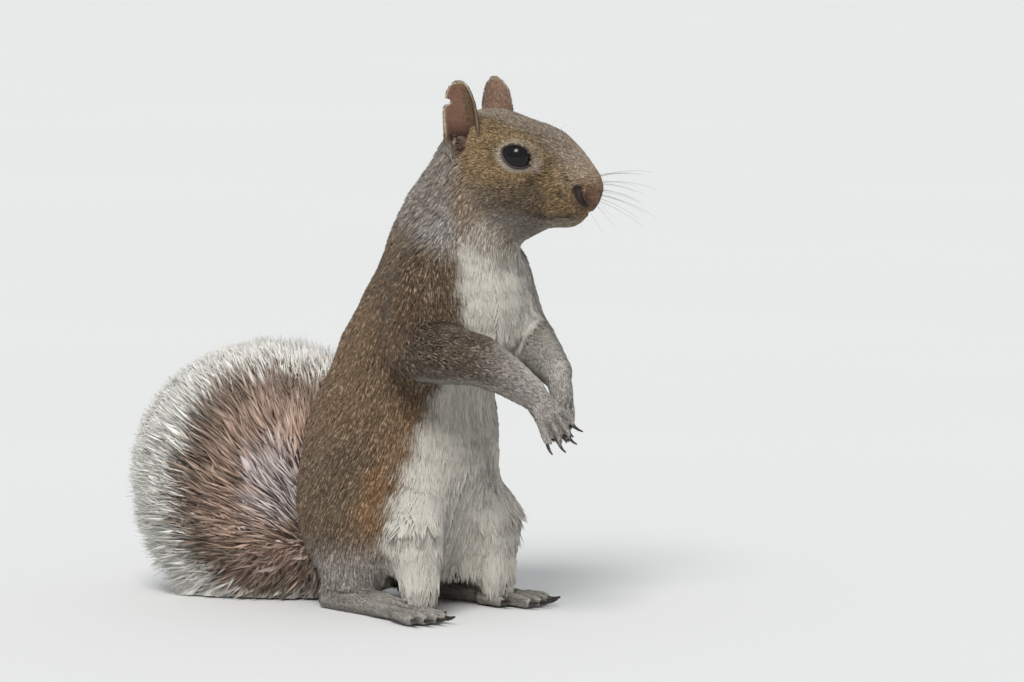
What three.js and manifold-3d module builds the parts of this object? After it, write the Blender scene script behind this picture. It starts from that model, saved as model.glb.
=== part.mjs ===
// A grey squirrel, life size, standing upright on its hind feet with its fore paws hanging before its chest.
// Millimetres, +Z up. The trunk faces -Y and +X is the animal's left. The floor is z = 0.
// The solids reach out to the tips of the coat. One smooth field describes the head, the trunk and the upper limbs:
// each of their nodes is meshed from that field at its own fineness, and parted from its neighbours by narrow cuts.
// Forearms, paws, claws, ears and the tail are lofted through rings.
import * as THREE from "three";
import { mergeVertices } from "three/addons/utils/BufferGeometryUtils.js";
import Module from "manifold-3d";

const wasm = await Module();
wasm.setup();

// ---------------------------------------------------------------- driving dimensions

const GAP = 0.4; // between neighbouring nodes
const TAIL_GAP = 1; // between the rump and the tail, whose surfaces are rounder than their facets
const HEAD_YAW = 17; // degrees that the head is turned to the animal's left
const EYE_RADIUS = 6.8;
const TAIL_RING = 29; // radius of the tail's curl, at its bone
const TAIL_HALF = 25; // half the full tail's breadth, out to the tips of its hair
const TAIL_LENGTHS = 5; // nodes that the tail is divided into

// Mesh steps of each kind of node.
const STEP = {
  head: 4.5,
  neck: 9.5,
  trunk: 11.5,
  thigh: 10,
  shin: 8.7,
  upperArm: 8,
};

const V = (x, y, z) => new THREE.Vector3(x, y, z);
const ZERO = V(0, 0, 0);
const X = V(1, 0, 0);
const Y = V(0, 1, 0);
const UP = V(0, 0, 1);
const DOWN = V(0, 0, -1);
const { clamp, degToRad: rad, lerp, smoothstep } = THREE.MathUtils;

// a + u * d + v * e, for points and directions
function along(a, ...steps) {
  const p = a.clone();
  for (let i = 0; i < steps.length; i += 2) p.addScaledVector(steps[i + 1], steps[i]);
  return p;
}

// ---------------------------------------------------------------- fields

// A field gives the distance from a point to a surface, below zero inside it.

// A rounded cone from a to b, of radius ra at a and rb at b.
function limb(a, b, ra, rb) {
  const d = b.clone().sub(a);
  const squared = d.lengthSq();
  return (x, y, z) => {
    const px = x - a.x;
    const py = y - a.y;
    const pz = z - a.z;
    const t = clamp((px * d.x + py * d.y + pz * d.z) / squared, 0, 1);
    return Math.hypot(px - d.x * t, py - d.y * t, pz - d.z * t) - lerp(ra, rb, t);
  };
}

// An ellipsoid at c whose radii r lie along the columns of the rotation turn.
function egg(c, r, turn = new THREE.Matrix4()) {
  const e = turn.elements;
  return (x, y, z) => {
    const px = x - c.x;
    const py = y - c.y;
    const pz = z - c.z;
    const u = (px * e[0] + py * e[1] + pz * e[2]) / r.x;
    const v = (px * e[4] + py * e[5] + pz * e[6]) / r.y;
    const w = (px * e[8] + py * e[9] + pz * e[10]) / r.z;
    const reach = Math.hypot(u, v, w);
    const slope = Math.hypot(u / r.x, v / r.y, w / r.z);
    return slope < 1e-9 ? -Math.min(r.x, r.y, r.z) : (reach * (reach - 1)) / slope;
  };
}

// Joins fields with fillets of about the given radius.
function blend(fillet, fields) {
  return (x, y, z) => {
    let d = fields[0](x, y, z);
    for (let i = 1; i < fields.length; i++) {
      const e = fields[i](x, y, z);
      const h = Math.max(fillet - Math.abs(d - e), 0);
      d = Math.min(d, e) - (h * h) / (4 * fillet);
    }
    return d;
  };
}

// ---------------------------------------------------------------- the head's own frame

// Forward runs to the nose and left to the animal's left. The origin is midway between the eyes.
const HEAD_AT = V(8.8, -60.7, 183.3);
const FORWARD = V(Math.sin(rad(HEAD_YAW)), -Math.cos(rad(HEAD_YAW)), 0);
const LEFT = V(Math.cos(rad(HEAD_YAW)), Math.sin(rad(HEAD_YAW)), 0);

const inHead = (forward, left, up) => along(HEAD_AT, forward, FORWARD, left, LEFT, up, UP);

// Rotation whose columns are the head's forward, left and up, nosed down by pitch degrees and swung out by yaw.
function headTurn(pitch, yaw) {
  const basis = new THREE.Matrix4().makeBasis(FORWARD, LEFT, UP);
  const swing = new THREE.Matrix4().makeRotationZ(rad(yaw));
  return basis.multiply(swing).multiply(new THREE.Matrix4().makeRotationY(rad(pitch)));
}

function headEgg(at, radii, pitch = 0, yaw = 0) {
  return egg(inHead(...at), V(...radii), headTurn(pitch, yaw));
}

// The same egg on both sides of the head.
function headPair([forward, out, up], radii, pitch = 0, yaw = 0) {
  return [-1, 1].map((side) => headEgg([forward, side * out, up], radii, pitch, side * yaw));
}

const EYE = { forward: -1.9, out: 10.4, up: 0 };

const headField = blend(5, [
  headEgg([-15, 0, -1], [20.5, 17, 17.8]), // cranium
  headEgg([4, 0, -2], [18.4, 12, 14.2], 26), // brow
  headEgg([16.4, 0, -8.9], [12.9, 8, 10.4], 38), // muzzle
  headEgg([25.6, 0, -12], [3.2, 3.6, 4.6], 20), // nose
  headEgg([4, 0, -19.4], [15.5, 8.6, 8.6], 2), // jaw
  headEgg([15.6, 0, -22.8], [6.4, 4.4, 4.4], 6), // chin
  headEgg([-8, 0, -22], [13, 11, 12], 20), // throat
  ...headPair([18.6, 3.9, -16], [7.2, 4.4, 5], 16, -14), // whisker pads
  ...headPair([-5, 9, -11.5], [15.5, 8.6, 12.6], 10, -14), // cheeks
  ...headPair([EYE.forward, EYE.out - 4.4, EYE.up + 0.2], [8.4, 7.2, 7.7]), // rims of the eyes
  ...headPair([-22.5, 10.5, 2.5], [6.5, 4.4, 7.5]), // roots of the ears
]);

// ---------------------------------------------------------------- trunk

const trunkField = blend(12, [
  egg(V(0, 7, 38), V(31, 34, 31)), // pelvis
  egg(V(0, 1, 68), V(34.5, 42, 34)), // belly
  egg(V(0, -6, 98), V(29, 34, 27)), // waist
  egg(V(0, -22, 121), V(29, 34.5, 25)), // chest
  egg(V(0, -26, 143), V(23.5, 26, 18)), // shoulders
  limb(V(0, -26, 156), inHead(-20, 0, -3), 20.5, 17.5), // neck
]);

// ---------------------------------------------------------------- limbs

const SIDES = [
  { name: "right", sign: -1 },
  { name: "left", sign: 1 },
];

// Each arm's forearm is a row of points and radii from the elbow to the wrist. The left paw hangs the higher.
const ARMS = {
  right: {
    shoulder: V(-21, -33, 137),
    forearm: [
      [V(-32, -31.5, 108), 11.8],
      [V(-29, -50, 107), 11.8],
      [V(-23, -62, 105), 10.2],
      [V(-17, -71, 99), 8],
      [V(-12, -78.6, 92.6), 6.1],
    ],
    knuckles: V(-9.5, -84.5, 85.5),
    palm: V(0.3, 0.9, -0.2), // the way the palm faces
  },
  left: {
    shoulder: V(20, -32.5, 133.5),
    forearm: [
      [V(28.5, -38, 110), 10.4],
      [V(21.7, -50.4, 106), 9.6],
      [V(15.8, -61, 102.4), 8.2],
      [V(9, -73.5, 98), 6.1],
    ],
    knuckles: V(7.6, -77.5, 89),
    palm: V(-0.25, 0.93, -0.2),
  },
};
for (const arm of Object.values(ARMS)) {
  arm.elbow = arm.forearm[0][0];
  arm.wrist = arm.forearm.at(-1)[0];
}

const LEGS = Object.fromEntries(
  SIDES.map(({ name, sign }) => [
    name,
    {
      hip: V(sign * 20, 5, 42),
      knee: V(sign * 22.5, -27, 38),
      hem: V(sign * 22.5, -28.5, 16), // where the long hair of the knee ends
      ankle: V(sign * 25, 12, 13),
      heel: V(sign * 24.5, 17, 5.2),
      ball: V(sign * 28.5, -26, 4.4),
    },
  ]),
);

const upperArmField = ({ shoulder, elbow }) => limb(shoulder, elbow, 12.5, 10.5);

const haunchFields = ({ hip, knee }) => [
  egg(hip, V(18.5, 31, 34)), // haunch
  limb(along(hip, -12, Y), knee, 14, 10.5), // thigh
];

const shinFields = ({ knee, hem, ankle }) => [
  limb(knee, hem, 10.5, 9.5), // hanging hair
  limb(knee, ankle, 9.5, 7.5), // shin
];

const bodyField = blend(5, [
  blend(9, [
    trunkField,
    headField,
    ...SIDES.map(({ name }) => upperArmField(ARMS[name])),
    ...SIDES.flatMap(({ name }) => haunchFields(LEGS[name])),
  ]),
  ...SIDES.flatMap(({ name }) => shinFields(LEGS[name])),
]);

// ---------------------------------------------------------------- from fields to surfaces

// Moves a point along the field's slope onto its surface.
function settle(field, p, step) {
  const h = step * 0.05;
  for (let i = 0; i < 4; i++) {
    const d = field(p.x, p.y, p.z);
    if (Math.abs(d) > step * 0.5) return;
    const slope = V(
      field(p.x + h, p.y, p.z) - field(p.x - h, p.y, p.z),
      field(p.x, p.y + h, p.z) - field(p.x, p.y - h, p.z),
      field(p.x, p.y, p.z + h) - field(p.x, p.y, p.z - h),
    ).multiplyScalar(0.5 / h);
    p.addScaledVector(slope, -d / Math.max(slope.lengthSq(), 0.2));
  }
}

const CORNERS = Array.from({ length: 8 }, (_, c) => [c & 1, (c >> 1) & 1, c >> 2]);
const CELL_EDGES = CORNERS.flatMap((_, a) => [1, 2, 4].filter((bit) => !(a & bit)).map((bit) => [a, a | bit]));
const AXES = [
  [1, 0, 0],
  [0, 1, 0],
  [0, 0, 1],
];
const ROUND_AN_EDGE = [
  [0, 0],
  [1, 0],
  [1, 1],
  [0, 1],
];

// The closed surface where the field is zero inside the box from lo to hi: one vertex in each grid cell that the
// surface crosses, and a pair of triangles for each grid edge that it crosses. The box's own sides close it.
function surface(field, lo, hi, step) {
  const size = hi.clone().sub(lo);
  const n = [size.x, size.y, size.z].map((s) => Math.ceil(s / step) + 2);
  const at = (i, j, k) => (k * n[1] + j) * n[0] + i;
  const place = (i, j, k) => V(lo.x + (i - 0.5) * step, lo.y + (j - 0.5) * step, lo.z + (k - 0.5) * step);
  const cells = [];
  for (let k = 0; k < n[2] - 1; k++) {
    for (let j = 0; j < n[1] - 1; j++) {
      for (let i = 0; i < n[0] - 1; i++) cells.push([i, j, k]);
    }
  }

  const values = new Float64Array(n[0] * n[1] * n[2]).fill(step);
  for (const [i, j, k] of cells) {
    const p = place(i, j, k);
    if (i && j && k) values[at(i, j, k)] = field(p.x, p.y, p.z) || 1e-9;
  }

  const vertexOf = new Map();
  const vertices = [];
  for (const [i, j, k] of cells) {
    const v = CORNERS.map(([a, b, c]) => values[at(i + a, j + b, k + c)]);
    const crossed = CELL_EDGES.filter(([a, b]) => v[a] < 0 !== v[b] < 0);
    if (!crossed.length) continue;
    const mean = ZERO.clone();
    for (const [a, b] of crossed) {
      mean.add(V(...CORNERS[a]).lerp(V(...CORNERS[b]), v[a] / (v[a] - v[b])));
    }
    mean.divideScalar(crossed.length);
    const p = place(i + mean.x, j + mean.y, k + mean.z);
    settle(field, p, step);
    vertexOf.set(at(i, j, k), vertices.length);
    vertices.push(p);
  }

  const index = [];
  for (const [i, j, k] of cells)
    AXES.forEach(([a, b, c], axis) => {
      const inside = values[at(i, j, k)] < 0;
      if (inside === values[at(i + a, j + b, k + c)] < 0) return;
      const [p, q] = [AXES[(axis + 1) % 3], AXES[(axis + 2) % 3]];
      const cell = ([s, t]) => at(i - s * p[0] - t * q[0], j - s * p[1] - t * q[1], k - s * p[2] - t * q[2]);
      const quad = ROUND_AN_EDGE.map((corner) => vertexOf.get(cell(corner)));
      if (!inside) quad.reverse();
      const [w, x, y, z] = quad;
      const straight = vertices[w].distanceTo(vertices[y]) < vertices[x].distanceTo(vertices[z]);
      index.push(...(straight ? [w, x, y, w, y, z] : [w, x, z, x, y, z]));
    });
  return indexed(vertices, index);
}

function indexed(vertices, index) {
  return new THREE.BufferGeometry().setFromPoints(vertices).setIndex(index);
}

// ---------------------------------------------------------------- lofts

// A closed tube through rings of points, each ring a circle's worth of points in the same order.
function loft(rings) {
  const sides = rings[0].length;
  const vertices = rings.flat();
  const index = [];
  for (let r = 0; r < rings.length - 1; r++)
    for (let s = 0; s < sides; s++) {
      const [a, b] = [r * sides + s, r * sides + ((s + 1) % sides)];
      index.push(a, b, a + sides, b, b + sides, a + sides);
    }
  for (const start of [0, (rings.length - 1) * sides]) {
    const hub = vertices.length;
    const ring = vertices.slice(start, start + sides);
    vertices.push(ring.reduce((sum, p) => sum.add(p), ZERO.clone()).divideScalar(sides));
    for (let s = 0; s < sides; s++) {
      const [a, b] = [start + s, start + ((s + 1) % sides)];
      index.push(...(start ? [hub, a, b] : [hub, b, a]));
    }
  }
  return indexed(vertices, index);
}

// An ellipse of points about p, with half axes a and b. It turns about the way the loft runs if a x b points there.
function ellipse(p, a, b, sides) {
  return Array.from({ length: sides }, (_, s) => {
    const angle = (2 * Math.PI * (s + 0.5)) / sides;
    return along(p, Math.cos(angle), a, Math.sin(angle), b);
  });
}

// A tube through joints, its rings set square to the way it runs. side is the way across it, along which its radii
// are multiplied by flatten.
function tube(joints, radii, side, flatten, sides) {
  return loft(
    joints.map((p, i) => {
      const way = joints[Math.min(i + 1, joints.length - 1)].clone().sub(joints[Math.max(i - 1, 0)]).normalize();
      const over = side.clone().cross(way).normalize();
      const across = way.clone().cross(over);
      return ellipse(p, across.multiplyScalar(radii[i] * flatten), over.multiplyScalar(-radii[i]), sides);
    }),
  );
}

// ---------------------------------------------------------------- solids

// A closed geometry as a solid for joining and cutting.
function solid(geometry) {
  const bare = geometry.clone();
  bare.deleteAttribute("normal");
  bare.deleteAttribute("uv");
  const merged = mergeVertices(bare, 1e-4);
  const made = new wasm.Mesh({
    numProp: 3,
    vertProperties: new Float32Array(merged.attributes.position.array),
    triVerts: new Uint32Array(merged.index.array),
  });
  return new wasm.Manifold(made);
}

function geometryOf(manifold) {
  const mesh = manifold.getMesh();
  return new THREE.BufferGeometry()
    .setAttribute("position", new THREE.BufferAttribute(new Float32Array(mesh.vertProperties), 3))
    .setIndex(new THREE.BufferAttribute(new Uint32Array(mesh.triVerts), 1));
}

function largest(manifold) {
  return manifold.decompose().reduce((a, b) => (a.volume() > b.volume() ? a : b));
}

const FAR = 600;

// Everything on the side of a plane that its normal points to.
function beyond(point, normal) {
  const box = new THREE.BoxGeometry(FAR, FAR, FAR).translate(0, 0, FAR / 2);
  box.applyQuaternion(new THREE.Quaternion().setFromUnitVectors(UP, normal.clone().normalize()));
  return solid(box.translate(point.x, point.y, point.z));
}

const underFloor = beyond(ZERO, DOWN);

// A ball, or an ellipsoid.
function ball(centre, radii, detail) {
  const geometry = new THREE.IcosahedronGeometry(1, detail).scale(radii.x, radii.y, radii.z);
  return solid(geometry.translate(centre.x, centre.y, centre.z));
}

// A rounded cone from a to b.
function sleeve(a, b, ra, rb) {
  const way = b.clone().sub(a).normalize();
  const side = (Math.abs(way.z) < 0.8 ? UP : Y).clone().cross(way).normalize();
  const other = way.clone().cross(side);
  const rings = [];
  const addRing = (end, radius, angle) => {
    const r = radius * Math.cos(rad(angle));
    const p = along(end, radius * Math.sin(rad(angle)), way);
    rings.push(ellipse(p, side.clone().multiplyScalar(r), other.clone().multiplyScalar(r), 8));
  };
  for (const angle of [-72, -40, 0]) addRing(a, ra, angle);
  for (const angle of [0, 40, 72]) addRing(b, rb, angle);
  return solid(loft(rings));
}

// ---------------------------------------------------------------- regions

// A region is the part of space that a node takes of the body: inside its shape, and on the positive side of each
// of its planes. Grown regions are cut out of the neighbours, which leaves a gap.
function region({ shape, planes = [] }, grow = 0) {
  let made = shape(grow);
  for (const [point, normal] of planes) {
    const out = normal.clone().normalize().negate();
    made = made.subtract(beyond(along(point, grow, out), out));
  }
  return made;
}

const box = (lo, hi) => (grow) => {
  const size = hi.clone().sub(lo).addScalar(2 * grow);
  const middle = lo.clone().lerp(hi, 0.5);
  return solid(new THREE.BoxGeometry(size.x, size.y, size.z).translate(middle.x, middle.y, middle.z));
};
const sleeveRegion = (a, b, ra, rb) => (grow) => sleeve(a, b, ra + grow, rb + grow);
const eggRegion = (c, r) => (grow) => ball(c, along(r, grow, V(1, 1, 1)), 1);

// The largest piece of the body in a region, less the regions of the nodes that come before it.
function nodeOf(where, step, before = []) {
  const keep = region(where);
  const { min, max } = keep.boundingBox();
  const margin = V(step, step, step);
  const mesh = surface(bodyField, V(...min).sub(margin), V(...max).add(margin), step);
  let made = solid(mesh).intersect(keep).subtract(underFloor);
  for (const other of before) made = made.subtract(region(other, GAP));
  return largest(made);
}

// The body with a layer of the given thickness added, inside the box from lo to hi.
function grownBody(layer, lo, hi, step) {
  const grown = (x, y, z) => bodyField(x, y, z) - layer;
  return solid(surface(grown, lo, hi, step));
}

const plane = (at, normal) => [at, normal];
const turned = ([at, normal]) => [at, normal.clone().negate()];
const nape = plane(inHead(-18, 0, -10), along(ZERO, 0.857, FORWARD, 0.518, UP));
const collar = plane(V(0, -30, 155), V(0, -0.3, 0.95));
const waist = plane(V(0, -10, 96), V(0, -0.2, 0.98));

const REGIONS = {
  head: { shape: box(V(-30, -110, 145), V(45, -10, 225)), planes: [nape] },
  neck: { shape: box(V(-40, -80, 130), V(45, 20, 215)), planes: [turned(nape), collar] },
  chest: { shape: box(V(-50, -75, 80), V(50, 40, 175)), planes: [turned(collar), waist] },
  abdomen: { shape: box(V(-55, -55, 2), V(55, 55, 110)), planes: [turned(waist)] },
};

// How far each ring of the paw lies from the wrist or the heel, and its half breadth and half height.
const PALM = [
  [-1, 5.2, 4.8],
  [4, 5.4, 4.6],
  [9, 6.1, 3.9],
  [12.5, 5.2, 2.6],
];
const SOLE = [
  [-5.4, 2.6, 2.8],
  [-2.4, 5.0, 5.6],
  [8, 5.6, 6.1],
  [24, 5.6, 5.2],
  [38, 8.0, 4.5],
  [45, 8.4, 3.9],
  [49.5, 6.4, 2.6],
];
const SUNK = 0.5; // how much of the sole is cut away to rest flat on the floor

function palmShape({ wrist, knuckles, palm }) {
  const way = knuckles.clone().sub(wrist).normalize();
  const side = way.clone().cross(palm).normalize();
  const over = side.clone().cross(way);
  const ringAt = (grow) => ([at, half, rise]) => {
    const p = along(wrist, at, way);
    return ellipse(p, side.clone().multiplyScalar(half + grow), over.clone().multiplyScalar(-rise - grow), 8);
  };
  return (grow) => solid(loft(PALM.map(ringAt(grow))));
}

function soleShape({ heel, ball: toes }) {
  const way = toes.clone().sub(heel).setZ(0).normalize();
  const side = way.clone().cross(UP);
  const ringAt = (grow) => ([at, half, rise]) => {
    const p = along(heel, at, way).setZ(rise - SUNK);
    return ellipse(p, side.clone().multiplyScalar(-half - grow), UP.clone().multiplyScalar(rise + grow), 8);
  };
  return (grow) => solid(loft(SOLE.map(ringAt(grow))));
}

// The forearm runs a little way into the upper arm and the paw, where planes cut it.
function forearmShape({ forearm }) {
  const points = forearm.map(([point]) => point);
  const radii = forearm.map(([, radius]) => radius);
  const ends = [
    along(points[0], -5, points[1].clone().sub(points[0]).normalize()),
    along(points.at(-1), 2.5, points.at(-1).clone().sub(points.at(-2)).normalize()),
  ];
  const joints = [ends[0], ...points, ends[1]];
  const girths = [radii[0], ...radii, radii.at(-1) - 0.5];
  return (grow) => solid(tube(joints, girths.map((r) => r + grow), UP, 1, 9));
}

for (const { name, sign } of SIDES) {
  const { shoulder, elbow, forearm, wrist, knuckles } = ARMS[name];
  const { hip, knee } = LEGS[name];
  const foreway = forearm[1][0].clone().sub(elbow).normalize();
  const wristway = wrist.clone().sub(forearm.at(-2)[0]).normalize();
  const handway = knuckles.clone().sub(wrist).normalize();
  const elbowCut = plane(along(elbow, 4, foreway), foreway);
  const wristCut = plane(along(wrist, 0.5, handway), wristway.add(handway));
  const ankleCut = plane(V(0, 0, 12), V(0, 0.12, -1));
  const kneeCut = plane(along(knee, -3, UP), V(0, -0.25, -1));
  const [inner, outer] = sign < 0 ? [-55, -10] : [10, 55];
  Object.assign(REGIONS, {
    ["hand_" + name]: { shape: palmShape(ARMS[name]), planes: [wristCut] },
    ["forearm_" + name]: { shape: forearmShape(ARMS[name]), planes: [elbowCut, turned(wristCut)] },
    ["upper_arm_" + name]: {
      shape: sleeveRegion(shoulder, elbow, 15, 14.5),
      planes: [turned(elbowCut), plane(V(sign * 17, 0, 120), V(sign, 0, 0))],
    },
    ["foot_" + name]: { shape: soleShape(LEGS[name]), planes: [ankleCut] },
    ["shin_" + name]: { shape: box(V(inner, -45, 1), V(outer, 45, 50)), planes: [kneeCut] },
    ["thigh_" + name]: {
      shape: eggRegion(along(hip, sign * 8, X, -9, Y), V(24, 40, 38)),
      planes: [turned(kneeCut)],
    },
  });
}

// ---------------------------------------------------------------- digits and claws

// Directions that fan out evenly about way, in the plane that side and way share.
function fan(count, spread, way, side) {
  return Array.from({ length: count }, (_, i) => {
    const angle = rad(spread * (i / (count - 1) - 0.5));
    return along(ZERO, Math.cos(angle), way, Math.sin(angle), side);
  });
}

// A digit as its joints from the knuckle to the tip, which bends towards curl.
function digit(root, direction, curl, lengths, bends) {
  const joints = [root];
  lengths.forEach((length, i) => {
    const way = along(direction, bends[i], curl).normalize();
    joints.push(along(joints[i], length, way));
  });
  return joints;
}

const FINGER = { lengths: [6, 5, 2], radii: [2.3, 2.2, 2.1, 1.3], bends: [0.1, 0.4, 0.7] };
const TOE = { lengths: [9, 7.6, 2.6], radii: [3.2, 2.9, 2.6, 1.6], bends: [-0.02, 0.08, 0.08] };
const CLAW = {
  hand: { length: 5.6, radius: 1.1, sweep: 75 },
  foot: { length: 5.4, radius: 1.25, sweep: 32 },
};
const FINGER_REACH = [0.86, 1, 1, 0.84];
const TOE_REACH = [0.72, 0.94, 1, 0.96, 0.84]; // from the inner toe to the outer one

function fingersOf({ wrist, knuckles, palm }) {
  const way = knuckles.clone().sub(wrist).normalize();
  const curl = along(palm, -palm.dot(way), way).normalize();
  const side = way.clone().cross(curl);
  return fan(4, 34, way, side).map((direction, i) => {
    const root = along(knuckles, 2.5 * (i - 1.5), side, -1, way);
    const lengths = FINGER.lengths.map((l) => l * FINGER_REACH[i]);
    return { joints: digit(root, direction, curl, lengths, FINGER.bends), radii: FINGER.radii, curl, side };
  });
}

function toesOf({ heel, ball: toes }, sign) {
  const way = toes.clone().sub(heel).setZ(0).normalize();
  const side = way.clone().cross(UP).multiplyScalar(-sign).normalize();
  return fan(5, 26, way, side).map((direction, i) => {
    const root = along(toes, 3.3 * (i - 2), side, i === 0 ? -6 : 0, way).setZ(3.2);
    const lengths = TOE.lengths.map((l) => l * TOE_REACH[i]);
    return { joints: digit(root, direction, DOWN, lengths, TOE.bends), radii: TOE.radii, curl: DOWN, side };
  });
}

// A claw a gap away from the end of a digit, arched over towards curl and tapering to a blunt point.
function clawSolid({ joints, curl }, { length, radius, sweep }) {
  const way = joints.at(-1).clone().sub(joints.at(-2)).normalize();
  const side = way.clone().cross(curl).normalize();
  const over = side.clone().cross(way).normalize();
  const root = along(joints.at(-1), GAP, way, 0.2, over);
  const points = [];
  const steps = 3;
  for (let i = 0; i <= steps; i++) {
    const angle = rad(sweep) * (i / steps);
    const reach = length / rad(sweep);
    points.push(along(root, reach * Math.sin(angle), way, -reach * (1 - Math.cos(angle)), over));
  }
  const radii = points.map((_, i) => lerp(radius, 0.4, (i / steps) ** 1.3));
  return solid(tube(points, radii, side, 0.7, 5));
}

// ---------------------------------------------------------------- tail

// The tail leaves the rump, lies on the floor, and curls up and forward in an upright plane that is swung to the
// animal's right. A tail point is given by its distance out along the floor in that plane, and its height.
const TAIL_ROOT = V(0, 34, 0);
const TAIL_WAY = V(-0.45, 0.893, 0).normalize();
const TAIL_SIDE = TAIL_WAY.clone().cross(UP);
const CURL = { out: 35, up: 49, start: 8, end: 178 }; // the curl's centre, and the degrees round it from its foot
const TAIL_RUN = 26; // how far the tail runs forward past the top of its curl
const TAIL_DROOP = 9; // how far its end hangs below that top
const TAIL_FLAT = 0.84; // its breadth across the curl, against that in the curl's plane

const tailPoint = (out, up) => along(TAIL_ROOT, out, TAIL_WAY, up, UP);

function tailCurve() {
  const points = [tailPoint(-10, 34), tailPoint(4, 29), tailPoint(20, 23)];
  const steps = 8;
  for (let i = 0; i <= steps; i++) {
    const angle = rad(lerp(CURL.start, CURL.end, i / steps));
    points.push(tailPoint(CURL.out + TAIL_RING * Math.sin(angle), CURL.up - TAIL_RING * Math.cos(angle)));
  }
  const top = CURL.up + TAIL_RING;
  points.push(tailPoint(CURL.out - TAIL_RUN / 2, top - 1.5), tailPoint(CURL.out - TAIL_RUN, top - TAIL_DROOP));
  return new THREE.CatmullRomCurve3(points);
}

// Half the tail's breadth in the plane of its curl, from the root at 0 to the tip at 1.
function tailBreadth(t) {
  const body = lerp(19, TAIL_HALF, smoothstep(t, 0, 0.2));
  const tip = Math.max((t - 0.86) / 0.14, 0);
  return body * Math.sqrt(Math.max(1 - tip * tip, 0.02));
}

function tailSolid() {
  const curve = tailCurve();
  const steps = 18;
  const rings = [];
  for (let i = 0; i <= steps; i++) {
    const t = i / steps;
    const half = tailBreadth(t);
    const across = curve.getTangentAt(t).cross(TAIL_SIDE).setLength(half);
    const sideways = TAIL_SIDE.clone().multiplyScalar(-TAIL_FLAT * half);
    rings.push(ellipse(curve.getPointAt(t), across, sideways, 12));
  }
  return solid(loft(rings)).subtract(underFloor);
}

// The part of the tail past an angle round its curl. Below the curl's centre the tail's own start lies behind every
// such plane, and above it the tail's end lies past every one.
function pastAngle(angle, shift) {
  const hub = tailPoint(CURL.out, CURL.up);
  const way = along(ZERO, Math.cos(rad(angle)), TAIL_WAY, Math.sin(rad(angle)), UP);
  const ahead = beyond(along(hub, shift, way), way);
  return angle < 90 ? ahead.add(beyond(along(hub, shift, UP), UP)) : ahead;
}

function tailNodes() {
  const rump = grownBody(TAIL_GAP, V(-60, -20, 0), V(40, 70, 130), 9);
  let rest = tailSolid().subtract(rump);
  const nodes = [];
  for (let i = 0; i < TAIL_LENGTHS - 1; i++) {
    const angle = lerp(24, 156, i / (TAIL_LENGTHS - 2));
    nodes.push(largest(rest.subtract(pastAngle(angle, -GAP / 2))));
    rest = rest.intersect(pastAngle(angle, GAP / 2));
  }
  return [...nodes, largest(rest)];
}

// ---------------------------------------------------------------- ears

const EAR = {
  root: [-22, 12.6, -1], // forward, out and up in the head's frame
  tip: [-24, 16.6, 28.6],
  half: 7,
  thick: 1.5,
  facing: 5, // degrees that its opening is turned forward
};
const TEAR = { at: [-30, -16, 21.5], radius: 2.6 }; // an old tear in the rear edge of the right ear

// The ear's half width at a height from 0, its root, to 1, its tip.
function earHalfWidth(v) {
  const root = lerp(4.4, EAR.half, smoothstep(v, 0, 0.4));
  return root * Math.sqrt(Math.max(1 - Math.max((v - 0.5) / 0.5, 0) ** 2.4, 0));
}

function earGeometry(sign) {
  const facing = rad(EAR.facing);
  const open = along(ZERO, Math.sin(facing), FORWARD, sign * Math.cos(facing), LEFT);
  const across = along(ZERO, Math.cos(facing), FORWARD, -sign * Math.sin(facing), LEFT);
  const columns = 5;
  const rows = 7;
  const face = (i, j, depth) => {
    const u = (2 * i) / columns - 1;
    const v = (j / rows) ** 0.8 * 0.992;
    const cup = 3 * (1 - v) ** 0.6 * u * u - 1.1 * Math.sin(Math.PI * v);
    const bevel = lerp(1, 0.55, Math.abs(u) ** 3);
    const [forward, out, up] = EAR.root.map((start, axis) => lerp(start, EAR.tip[axis], v));
    return along(inHead(forward, sign * out, up), earHalfWidth(v) * u, across, cup + depth * bevel, open);
  };
  // Each row is a flat ring: along the back from the rear edge to the front one, and home along the opening.
  const rings = [];
  for (let j = 0; j <= rows; j++) {
    const out = [];
    for (let i = 0; i <= columns; i++) out.push(face(i, j, -EAR.thick / 2));
    for (let i = columns; i >= 0; i--) out.push(face(i, j, EAR.thick / 2));
    rings.push(sign < 0 ? out.reverse() : out);
  }
  return loft(rings);
}

function earNode(sign, headGrown) {
  const made = solid(earGeometry(sign)).subtract(headGrown);
  const torn = ball(inHead(...TEAR.at), V(TEAR.radius, 2 * TEAR.radius, TEAR.radius), 1);
  return largest(sign < 0 ? made.subtract(torn) : made);
}

// ---------------------------------------------------------------- the animal

const COLOURS = {
  coat: [0x8a7c6c, 0.9],
  face: [0xa08a68, 0.9],
  limbs: [0x9a9088, 0.9],
  tail: [0xb3a698, 0.95],
  ear: [0x8f6a58, 0.75],
  eye: [0x120d0b, 0.08],
  claw: [0x2a2320, 0.45],
};

const squirrel = new THREE.Group();

function add(name, made, finish) {
  const [color, roughness] = COLOURS[finish];
  const material = new THREE.MeshStandardMaterial({ color, roughness, metalness: 0 });
  const mesh = new THREE.Mesh(geometryOf(made), material);
  mesh.name = name;
  squirrel.add(mesh);
}

const eyeball = (sign, radius) =>
  ball(inHead(EYE.forward, sign * EYE.out, EYE.up), V(radius, radius, radius), 2);
const regionsOf = (kinds) => SIDES.flatMap(({ name }) => kinds.map((kind) => REGIONS[kind + "_" + name]));

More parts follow.
